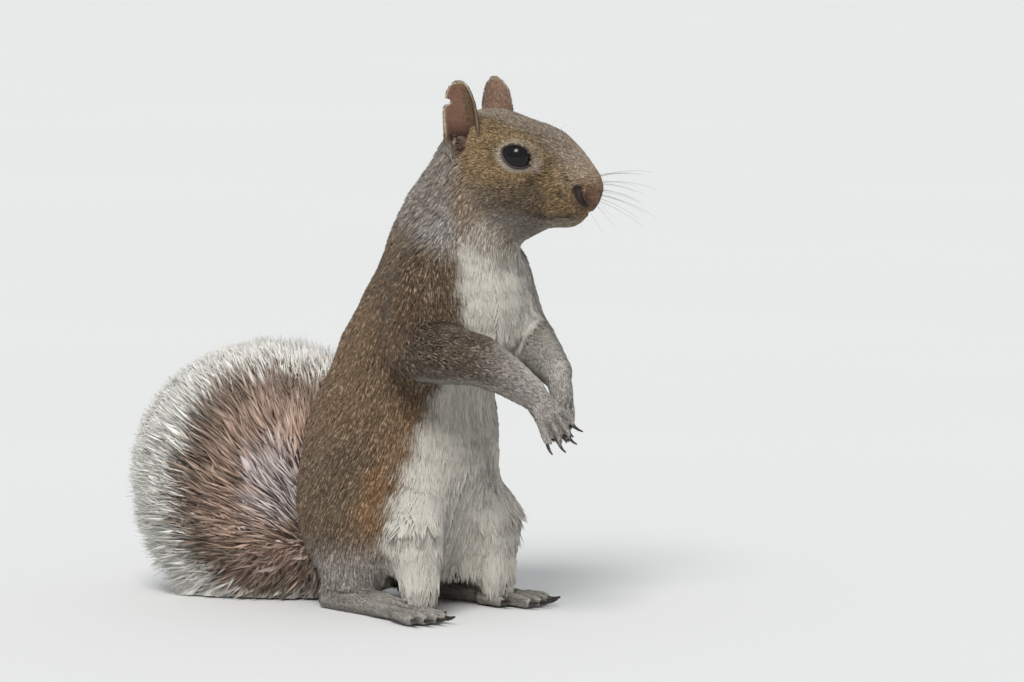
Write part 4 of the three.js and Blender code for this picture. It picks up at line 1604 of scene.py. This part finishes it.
@dataclass
class TailHair:
    """The tail's long hairs: some stand out from its bone, and the rest lie over both faces of the curl."""

    line: TailLine
    skin: Skin
    from_bone: int = 17000
    over_faces: int = 74000
    fan: tuple[float, float] = (24.0, 42.0)  # the middle of the tail's outline, in the curl's plane
    lie: tuple[float, float] = (4.0, 21.0)  # the place that the hairs point away from
    shoulder: float = 60.0  # how far from the middle the fringe ends
    face_reach: float = 50.0  # how far out from the curl's middle hair grows over its faces
    width: float = 0.27
    seed: int = 11

    def in_plane(self, points: Array) -> tuple[Array, Array]:
        """How far points lie out from the tail's root and up from the floor, in millimetres."""
        local = (points - on_trunk(*self.line.root, 0)) / MM
        return local @ self.line.out, local[:, 2]

    def from_fan(self, points: Array) -> Array:
        """How far points lie from the middle of the tail's outline, seen along the curl's axis."""
        out, up = self.in_plane(points)
        return np.hypot(out - self.fan[0], up - self.fan[1])

    def away(self, points: Array) -> Array:
        """The ways in the curl's plane that lead away from where the hairs point."""
        out, up = self.in_plane(points)
        return unit(self.line.out * (out - self.lie[0])[:, None] + UP * (up - self.lie[1])[:, None])

    def room(self, root: Array, way: Array, reach: Array) -> Array:
        """How far hairs run before they come to a distance from the outline's middle, in metres.

        Args:
            root: The hairs' roots.
            way: The ways that they run.
            reach: The distance, in millimetres, for all or for each.

        Returns:
            A length for each hair.
        """
        out, up = self.in_plane(root)
        out, up = out - self.fan[0], up - self.fan[1]
        along = out * (way @ self.line.out) + up * way[:, 2]
        flat = np.maximum((way @ self.line.out) ** 2 + way[:, 2] ** 2, 0.1)
        return (np.sqrt(np.maximum(along**2 - flat * (out**2 + up**2 - reach**2), 0)) - along) / flat * MM

    def bone_hairs(self, rng: np.random.Generator, count: int) -> tuple[Array, Array, Array, Array, Array]:
        """Hairs round the bone: their roots, ways, lengths, a way to bow, and places on the unwrap.

        Args:
            rng: Where the chances come from.
            count: How many hairs to make.

        Returns:
            The roots, ways and lengths, a way for each hair to bow, and places on the unwrap.
        """
        line = self.line
        t = rng.uniform(0.08, 1.0, count)
        at = t * (len(line.points) - 1)
        low = np.minimum(at.astype(int), len(line.points) - 2)
        share = (at - low)[:, None]
        spine = blend(line.points[low], line.points[low + 1], share)
        way = unit(blend(line.ways[low], line.ways[low + 1], share))
        angle = rng.uniform(0, 2 * math.pi, count)
        radial = np.cos(angle)[:, None] * np.cross(way, line.side) + np.sin(angle)[:, None] * line.side
        radial = unit(radial)
        root = spine + radial * line.core_radius(t)[:, None] * 0.8
        away = self.away(spine)
        outward = dot(radial, away)
        pull = np.abs(np.sin(angle)) * rng.uniform(-0.8, 0.95, count) + 0.35 * np.clip(outward, 0, 1)
        lean = (0.34 + 0.5 * ease(0.9, 1.0, t))[:, None]
        direction = unit(radial + away * pull[:, None] + way * lean + rng.normal(0, 0.16, (count, 3)))
        size = rng.uniform(0, 1, count)
        outer = self.room(root, direction, self.shoulder * blend(0.8, 1.08, size**0.6))
        depth = line.half * line.flat * MM * blend(0.55, 0.86, size**0.7)
        fitted = depth / np.maximum(np.abs(direction @ line.side), 0.3)
        length = np.minimum(np.maximum(outer, 14 * MM), fitted * 1.15)
        length = blend(blend(22, 38, size) * MM, length, ease(-0.25, 0.25, outward))
        length = np.minimum(length, fitted * 1.25) * blend(0.55, 1.0, ease(0.06, 0.3, t))
        return root, direction, length, radial, np.stack([t, angle / (2 * math.pi)], 1)

    def face_hairs(self, rng: np.random.Generator, count: int) -> tuple[Array, Array, Array, Array, Array]:
        """Hairs over the curl's two faces, with the same results as those of the bone.

        Args:
            rng: Where the chances come from.
            count: How many hairs to make.

        Returns:
            The roots, ways and lengths, a way for each hair to bow, and places on the unwrap.
        """
        line = self.line
        turn = rng.uniform(0, 2 * math.pi, count)
        reach = self.face_reach * np.sqrt(rng.uniform(0, 1, count))
        out, up = line.centre[0] + reach * np.sin(turn), line.centre[1] - reach * np.cos(turn)
        sign = np.where(rng.random(count) < 0.5, -1.0, 1.0)
        thick = line.half * line.flat * np.sqrt(1 - (reach / (line.ring + line.half + 1)) ** 2.2)
        flat = on_trunk(*line.root, 0) + (line.out * out[:, None] + UP * np.maximum(up, 3)[:, None]) * MM
        face = line.side * sign[:, None]
        root = flat + face * (thick * rng.uniform(0.0, 0.86, count) ** 0.6 * MM)[:, None]
        away = self.away(root)
        bend = 0.3 * np.sin(out * 0.33 + up * 0.21) + 0.22 * np.sin(up * 0.47 - out * 0.18 + 1.1)
        direction = away + np.cross(face, away) * bend[:, None] + face * 0.14
        direction = unit(direction + rng.normal(0, 0.13, (count, 3)))
        room = self.room(root, direction, self.shoulder * rng.uniform(0.84, 1.1, count))
        length = np.minimum(rng.uniform(13, 24, count) * MM, np.maximum(room, 5 * MM))
        place = np.stack([turn / (2 * math.pi), 0.5 + sign * reach / 102], 1)
        return root, direction, length, face, place

    def build(self) -> list[bpy.types.Object]:
        """Makes the three pieces of hair.

        Returns:
            The pieces, not yet dressed.
        """
        rng = np.random.default_rng(self.seed)
        scarce = 1.0
        bone = self.bone_hairs(rng, int(self.from_bone * scarce))
        faces = self.face_hairs(rng, int(self.over_faces * scarce))
        made = [self.piece("tail_hair_bone", Form.LANCE, rng, *bone)]
        for name, sign in SIDES.items():
            mine = faces[3] @ self.line.side * (self.line.side @ HEAD.left) * sign > 0
            made.append(self.piece("tail_hair_" + name, Form.WEDGE, rng, *(values[mine] for values in faces)))
        return made

    def piece(
        self,
        name: str,
        form: Form,
        rng: np.random.Generator,
        root: Array,
        way: Array,
        length: Array,
        bow: Array,
        place: Array,
    ) -> bpy.types.Object:
        """Makes one piece of long hair.

        Args:
            name: The piece's name.
            form: The shape of each hair.
            rng: Where the chances come from.
            root: The hairs' roots.
            way: The ways that they run.
            length: How long they are, in metres.
            bow: The ways that their middles bow out.
            place: The roots' places on the unwrap.

        Returns:
            The piece.
        """
        count = len(root)
        long = length[:, None]
        sag = rng.uniform(0, 0.06, count)[:, None] * long
        middle = root + way * long * 0.5 + bow * sag
        tip = root + way * long - UP * sag * 0.5
        tip = gather(root, tip, rng.uniform(0.0, 0.45, count), 3.2 * MM)
        tip = gather(root, tip, rng.uniform(0, 0.3, count), 8 * MM)
        for points in (middle, tip):
            under = np.maximum(0.4 * MM - points[:, 2], 0)
            points += self.line.out * 0.2 * under[:, None]
            points[:, 2] = np.where(under > 0, rng.uniform(0.4, 1.2, count) * MM, points[:, 2])
        breadth = self.width * rng.uniform(0.65, 1.3, count) * MM / 2 * 1
        facing = bow + rng.normal(0, 0.45, (count, 3))
        across = unit(np.cross(facing, way)) * breadth[:, None]
        normal = unit(np.cross(way, across))
        kept = self.outside(root, middle, tip)
        values = {"tone": rng.random(count)[kept], "other": rng.random(count)[kept]}
        rows = [v[kept] for v in (root, middle, tip, across, normal, place)]
        made = Tufts(*rows, values, 0.5).build(name, form, 0.0)
        ends = [self.ring(p[kept]) for p in (root, middle, middle, tip, middle)[: form.corners]]
        set_values(made, "ring", np.stack(ends, 1))
        return made

    def ring(self, points: Array) -> Array:
        """Where points lie among the tail's bands of colour, which sit further out at the top.

        Args:
            points: The points.

        Returns:
            A distance in millimetres for each point.
        """
        _, up = self.in_plane(points)
        reach = self.from_fan(points)
        top = (up - self.fan[1]) / np.maximum(reach, 1)
        return reach + 4 - 10 * ease(0.5, 0.95, top)

    def outside(self, *points: Array) -> Array:
        """Whether all of the points lie outside the trunk's skin.

        Args:
            *points: Groups of points, one point of each group for each hair.

        Returns:
            For each hair, whether it is clear of the trunk.
        """
        trunk = self.skin.shares[:, REGIONS.index("tail")] < 0.5
        shell = self.skin.shell
        faces = shell.faces[trunk[shell.faces].all(1)]
        tree = Shell(shell.points, faces).tree()
        kept = np.ones(len(points[0]), bool)
        for group in points:
            place, normal, _ = nearest(tree, group)
            kept &= dot(group - place, normal) > -1 * MM
        return kept


# ---------------------------------------------------------------- ears


@dataclass
class Ear:
    """One ear: a thin cup at its base that opens to a shallow blade with a round tip."""

    side: str
    root: tuple[float, float, float] = (-20.6, 13.2, -4.5)  # along the head's axes
    tip: tuple[float, float, float] = (-22.6, 16.8, 29.2)
    facing: float = 12.0  # degrees that it opens forward of sideways
    half: float = 6.9
    bite: tuple[float, float, float] = (0.0, 0.77, 0.036)  # share of the breadth, height and half the height
    rows: int = 96
    columns: int = 41
    seed: int = 31

    def axes(self) -> tuple[Array, Array, Array]:
        """The ways from root to tip, to the front edge, and to where the cup opens.

        Returns:
            Three unit vectors, square to each other.
        """
        sign = SIDES[self.side]
        up = unit(HEAD.at(self.tip[0], self.tip[1] * sign, self.tip[2]) - self.start)
        turn = math.radians(self.facing)
        opens = HEAD.left * sign * math.cos(turn) + HEAD.forward * math.sin(turn)
        opens = unit(opens - up * (opens @ up))
        front = np.cross(up, opens)
        return up, front * np.sign(front @ HEAD.forward), opens

    @property
    def start(self) -> Array:
        """The middle of its base."""
        return HEAD.at(self.root[0], self.root[1] * SIDES[self.side], self.root[2])

    def build(self) -> tuple[Shell, dict[str, Array]]:
        """Makes the surface and the values that its finish reads.

        Returns:
            The surface, and a number for each of its vertices by name.
        """
        up, front, opens = self.axes()
        tall = math.dist(self.root, self.tip) * MM
        h = np.sin(np.linspace(0, math.pi / 2, self.rows))
        v = np.linspace(-1, 1, self.columns)
        rounding = np.sqrt(np.clip(1 - (np.clip(h - 0.52, 0, 1) / 0.482) ** 2.3, 0, 1))
        half = np.maximum(blend(4.4, self.half, ease(0.0, 0.42, h)) * rounding, 0.25)
        curl = np.radians(np.interp(h, (0, 0.18, 0.4, 0.7, 1), (112, 100, 66, 40, 28)))
        share, height, spread = self.bite
        notch = share * np.clip(1 - (np.abs(h - height) / spread) ** 2.6, 0, 1)
        reach = np.where(v[None] < 0, 1 - notch[:, None], 1.0) * v[None]
        phi = reach * curl[:, None]
        radius = (half / np.sin(np.minimum(curl, math.pi / 2)))[:, None]
        across = radius * np.sin(phi)
        depth = radius * (np.cos(curl)[:, None] - np.cos(phi))
        deepest = radius * (1 - np.cos(curl)[:, None])
        fold = 1.5 * ease(0.72, 1.0, v)[None] * ease(0.16, 0.4, h)[:, None] * ease(1.0, 0.8, h)[:, None]
        thick = blend(0.75, 0.42, h)[:, None] * np.sqrt(np.clip(1 - np.abs(v[None]) ** 9, 0.02, 1))
        ring = []
        for sign in (1, -1):
            push = sign * thick
            a = (across - push * np.sin(phi)) * MM
            d = (depth + deepest * 0.45 + push * np.cos(phi) + fold) * MM
            place = self.start + up * (h * tall)[:, None, None] + front * a[..., None] + opens * d[..., None]
            ring.append(place if sign > 0 else place[:, ::-1])
        shell = loft(np.concatenate(ring, 1)).outward()
        inner = np.ones_like(phi)
        edge = ease(0.86, 0.97, np.abs(v))[None] * ease(0.3, 0.5, h)[:, None]
        edge = np.maximum(edge, ease(0.955, 0.985, h)[:, None])
        strip = ease(0.16, 0.28, v)[None] * ease(0.97, 0.82, h)[:, None]
        # Painted shade: the lower middle of the inside, where the cup is deepest, is darkened.
        hollow = ease(0.6, 0.3, h)[:, None] * ease(0.8, 0.35, np.abs(v + 0.25))[None]
        edge = edge * blend(0.85, 0.3, ease(0.2, 0.7, v)[None] * ease(0.98, 0.8, h)[:, None])
        values = {"rim": edge, "fold": strip * 0.8, "hollow": hollow, "inner": inner}
        both = {}
        for name, value in values.items():
            back = np.zeros_like(value) if name in ("inner", "hollow", "fold") else value
            flat = np.concatenate([value, back[:, ::-1]], 1).reshape(-1)
            both[name] = np.concatenate([flat, [0, flat[-1]]])
        both["height"] = np.concatenate([np.repeat(h, 2 * self.columns), [0, 1]])
        return shell, both

    def fur(self, shell: Shell, values: dict[str, Array]) -> Tufts:
        """Short hair on the ear's back, base and front fold, and wisps from the hollow's rear edge.

        Args:
            shell: The ear's surface.
            values: Its values.

        Returns:
            The tufts.
        """
        up, front, _ = self.axes()
        count = len(shell.points)
        height = values["height"]
        outer = 1 - values["inner"]
        local = (shell.points - self.start) @ front / MM
        base = ease(0.42, 0.2, height)
        density = 6.5 * outer * blend(1.0, 0.3, ease(0.35, 0.62, height))
        density = density + values["fold"] * 5.5 + values["inner"]
        density = density + values["inner"] * base * ease(1.5, 4, -local) * 5 + values["rim"] * 8
        length = blend(1.5, 3.4, base) * (0.45 + 0.55 * np.maximum(outer, base)) * (1 - 0.55 * values["rim"])
        zero = np.zeros(count)
        marks = {
            "pale": np.clip(values["rim"] * 0.35 + base * 0.25, 0, 1),
            "rufous": np.clip(values["inner"] * (1 - base) + outer * (1 - base) * 0.5, 0, 1) * 0.8,
            "grey": np.clip(outer * 0.4 + base * 0.6, 0, 1),
            "ochre": np.clip(values["fold"] * 0.8 + outer * 0.3 + values["inner"] * 0.5, 0, 1),
            # Painted shade on the hairs in the ear's cup.
            "dark": values["hollow"] * 0.8,
            "bare": values["inner"] * 0.6 * (1 - base),
        }
        way = np.tile(up + front * -0.12, (count, 1))
        rise = np.where(values["inner"] > 0.5, 0.25, 0.5) + base * 0.5
        grown = Field(shell, way, rise, length, zero + 0.24, density, zero, marks)
        shape, carried, _ = grown.sow(np.random.default_rng(self.seed))
        place = unrolled(shape["root"])
        return Tufts(**shape, place=place, values=carried)


# ---------------------------------------------------------------- eyes, whiskers and claws


@dataclass
class Eye:
    """A smooth eyeball in its solid's place, with a low bulge at its front."""

    side: str
    bulge: float = 0.2 * MM

    def build(self) -> bpy.types.Object:
        """Makes the ball.

        Returns:
            The eyeball.
        """
        mesh = bpy.data.meshes.new("eye")
        shape = bmesh.new()
        bmesh.ops.create_icosphere(shape, subdivisions=5, radius=HEAD.eye_radius)
        shape.to_mesh(mesh)
        shape.free()
        shell = Shell.of(mesh)
        facing = unit(shell.points) @ Opening(self.side).axes()[0]
        shell.points = shell.points + unit(shell.points) * (ease(0.72, 1.0, facing) * self.bulge)[:, None]
        shell.points = shell.points + middle_of("eye_" + self.side)
        made = shell.to_mesh("eyeball_" + self.side)
        set_values(made, "facing", facing)
        return made


@dataclass(frozen=True)
class EyeFinish:
    """A near black pupil in a deep brown iris, under a glossy front."""

    iris: tuple = tint(34, 22, 16)
    pupil: tuple = tint(9, 8, 9)

    def material(self) -> bpy.types.Material:
        """Builds the material.

        Returns:
            The material.
        """
        bench = Bench("eye")
        facing = bench.value("facing")
        colour = bench.mix(facing.ease(0.55, 0.82), self.iris, self.pupil)
        bench.shader.inputs["IOR"].default_value = 1.38
        return bench.finish(Base_Color=colour, Roughness=0.15)


@dataclass
class Lid:
    """The dark rim of one eye's lids, a low ridge round the opening."""

    side: str
    # Degrees out from the opening's edge, and millimetres above the eyeball.
    profile: tuple[tuple[float, float], ...] = (
        (-1.0, 0.28), (0.8, 0.56), (2.8, 0.74), (5.2, 0.66), (8.5, 0.1), (6.0, -0.5), (0.5, -0.35),
    )
    steps: int = 90

    def build(self) -> Shell:
        """Makes the ridge as a closed ring.

        Returns:
            The ridge.
        """
        eye = Opening(self.side)
        look, front, top = eye.axes()
        turns = np.linspace(0, 2 * math.pi, self.steps + 1)
        out, rise = np.array(self.profile).T
        angle = (eye.edge(turns)[:, None] + np.radians(out))[..., None]
        spoke = np.cos(turns)[:, None] * front + np.sin(turns)[:, None] * top
        reach = HEAD.eye_radius + rise[None, :, None] * MM
        points = eye.centre + reach * (np.cos(angle) * look + np.sin(angle) * spoke[:, None])
        return loft(points, closed_ends=False).welded().outward()


@dataclass
class Whiskers:
    """Stiff dark hairs on the muzzle's sides and over the eyes."""

    rows: tuple[float, ...] = (-9.5, -11.8, -14.2, -16.4)  # heights of the rows on the muzzle
    seed: int = 5

    def build(self, tree: BVHTree) -> Shell:
        """Makes tapered threads that start in the skin.

        Args:
            tree: The skin.

        Returns:
            All the whiskers as one surface.
        """
        rng = np.random.default_rng(self.seed)
        shells = []
        for sign in SIDES.values():
            for number, up in enumerate(self.rows):
                for step in range(4):
                    start = HEAD.at(20.5 + 2.1 * step + 0.4 * number, 7 * sign, up + 0.4 * step)
                    way = HEAD.forward * (0.5 + 0.14 * step) + HEAD.left * sign * 0.7
                    way = unit(way + UP * (0.3 - 0.16 * number) + rng.normal(0, 0.07, 3))
                    shells.append(self.thread(tree, start, way, rng.uniform(17, 27) * MM))
            for step in range(2):
                start = HEAD.at(4 + 3 * step, 12 * sign, 8.5)
                way = unit(HEAD.left * sign * 0.5 + UP * 0.7 + HEAD.forward * (0.1 + 0.3 * step))
                shells.append(self.thread(tree, start, way, 10 * MM))
        return join(shells)

    @staticmethod
    def thread(tree: BVHTree, start: Array, way: Array, length: float) -> Shell:
        """One hair that leaves the skin nearest a place and droops a little.

        Args:
            tree: The skin.
            start: A place near the root.
            way: The way that it leaves.
            length: Its length, in metres.

        Returns:
            A closed thread.
        """
        place = nearest(tree, start[None])[0][0]
        t = np.linspace(0, 1, 9)
        line = place - way * 0.5 * MM + way * (t * length)[:, None] - UP * (t**2 * length * 0.24)[:, None]
        across = unit(np.cross(way, UP + 0.01))
        over = np.cross(way, across)
        turns = np.linspace(0, 2 * math.pi, 5)[:-1]
        ring = np.cos(turns)[:, None] * across + np.sin(turns)[:, None] * over
        radius = blend(0.06, 0.02, t) * MM
        return loft(line[:, None] + ring[None] * radius[:, None, None]).outward()


@dataclass(frozen=True)
class Claws:
    """The claws of one paw, rounded off from their solids."""

    kind: str
    side: str

    @property
    def nodes(self) -> list[str]:
        """The claws' solids."""
        return [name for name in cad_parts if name.startswith(f"claw_{self.kind}_{self.side}_")]

    def build(self) -> Shell:
        """Makes the claws as one piece.

        Returns:
            The claws, not welded to each other.
        """
        shells = []
        for node in self.nodes:
            rough = Shell.of(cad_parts[node].data).welded()
            fine = rough.refined(np.ones(len(rough.points), bool))
            shells.append(fine.faired(3, 0.4))
        return join(shells)


# ---------------------------------------------------------------- studio


@dataclass
class Studio:
    """The floor, the lights and the camera."""

    azimuth: float = -48.0
    elevation: float = 6.0
    distance: float = 2.28
    aim: tuple[float, float, float] = (36.88, -24.4, 105.4)  # along the trunk's axes
    lens: float = 200.0
    floor_radius: float = 60.0
    lamp_power: float = 2.1
    lamp_breadth: float = 24.0  # degrees across, as seen from the animal
    sky_strength: float = 0.62

    def floor(self) -> None:
        """A wide pale floor."""
        mesh = bpy.data.meshes.new("floor")
        shape = bmesh.new()
        bmesh.ops.create_circle(shape, cap_ends=True, segments=64, radius=self.floor_radius)
        shape.to_mesh(mesh)
        shape.free()
        made = bpy.data.objects.new("floor", mesh)
        bpy.context.scene.collection.objects.link(made)
        bench = Bench("floor")
        colour = bench.mix(bench.noise(0.4), tint(229, 229, 226), tint(232, 231, 229))
        mesh.materials.append(bench.finish(Base_Color=colour, Roughness=0.9))

    def lights(self) -> None:
        """One broad high lamp from over the camera's left shoulder, and an even pale sky."""
        lamp = bpy.data.lights.new("key", "SUN")
        lamp.energy = self.lamp_power
        lamp.angle = math.radians(self.lamp_breadth)
        made = bpy.data.objects.new("key", lamp)
        made.rotation_mode = "QUATERNION"
        made.rotation_quaternion = self.towards(self.azimuth - 12, 50).to_track_quat("Z", "Y")
        bpy.context.scene.collection.objects.link(made)
        world = bpy.data.worlds.new("sky")
        world.use_nodes = True
        world.node_tree.nodes["Background"].inputs["Color"].default_value = tint(236, 240, 244)
        world.node_tree.nodes["Background"].inputs["Strength"].default_value = self.sky_strength
        bpy.context.scene.world = world

    @staticmethod
    def towards(azimuth: float, elevation: float) -> Vector:
        """The way to a place round the animal, by its angles in degrees."""
        a, e = math.radians(azimuth), math.radians(elevation)
        return Vector((math.sin(a) * math.cos(e), -math.cos(a) * math.cos(e), math.sin(e)))

    def camera(self) -> None:
        """The camera, at its angle to the animal."""
        back = self.towards(self.azimuth, self.elevation)
        lens = bpy.data.cameras.new("camera")
        lens.lens = self.lens
        lens.sensor_width = 36.0
        lens.clip_start, lens.clip_end = 0.1, 200.0
        made = bpy.data.objects.new("camera", lens)
        made.rotation_mode = "QUATERNION"
        made.rotation_quaternion = back.to_track_quat("Z", "Y")
        made.location = Vector(on_trunk(*self.aim)) + back * self.distance
        bpy.context.scene.collection.objects.link(made)
        bpy.context.scene.camera = made

    def build(self) -> None:
        """Sets the stage."""
        self.floor()
        self.lights()
        self.camera()
        scene = bpy.context.scene
        scene.view_settings.view_transform = "Standard"
        scene.view_settings.look = "None"


def dress(piece: bpy.types.Object, material: bpy.types.Material, slot: str, *nodes: str) -> None:
    """Finishes a piece: its material, its body and the solids that it stands for.

    Args:
        piece: The piece.
        material: Its material.
        slot: Not used.
        *nodes: The solids that it stands for.
    """
    piece.data.materials.append(material)
    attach(piece, BODY)
    if nodes:
        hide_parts(*nodes)
    LOG.info("%s: %d triangles", piece.name, len(piece.data.polygons))


def main() -> None:
    """Builds the animal piece by piece, then its stage."""
    logging.basicConfig(level=logging.INFO, format="%(name)s %(relativeCreated)d ms: %(message)s")
    Studio().build()
    skin = Skin().build()
    markings = Markings()
    body = skin.shell.to_mesh("skin")
    for name, values in markings.of(skin.shell.points, skin.shell.normals(), skin.shares).items():
        set_values(body, name, values)
    dress(body, SkinFinish().material(), "coat", *FLESH)

    Coat(skin, markings).build()
    tail_material = TailFinish().material()
    for piece in TailHair(skin.tail, skin).build():
        dress(piece, tail_material, "tail", *TAIL_NODES)
    eye_material = EyeFinish().material()
    ear_material = EarFinish().material()
    ear_hair = HairFinish("ear_hair").material()
    lid_material = PlainFinish("lid", tint(46, 32, 28), 0.45, size=0.3 * MM).material()
    claw_material = PlainFinish("claw", tint(46, 38, 34), 0.35, coat=0.3).material()
    whisker_material = PlainFinish("whisker", tint(40, 34, 30), 0.45).material()
    for side in SIDES:
        dress(Eye(side).build(), eye_material, "eye", "eye_" + side)
        dress(Lid(side).build().to_mesh("lid_" + side), lid_material, "eye")
        ear = Ear(side, bite=(0.42, 0.77, 0.05)) if side == "right" else Ear(side)
        shell, values = ear.build()
        blade = shell.to_mesh("ear_blade_" + side)
        for name in ("rim", "fold", "hollow", "inner"):
            set_values(blade, name, values[name])
        dress(blade, ear_material, "ear", "ear_" + side)
        dress(ear.fur(shell, values).build("coat_ear_" + side, Form.WEDGE, 0.6), ear_hair, "coat")
        for kind in ("hand", "foot"):
            claws = Claws(kind, side)
            dress(claws.build().to_mesh(f"claws_{kind}_{side}"), claw_material, "claw", *claws.nodes)
    dress(Whiskers().build(skin.shell.tree()).to_mesh("whiskers"), whisker_material, "coat")


if __name__ == "__main__":
    main()
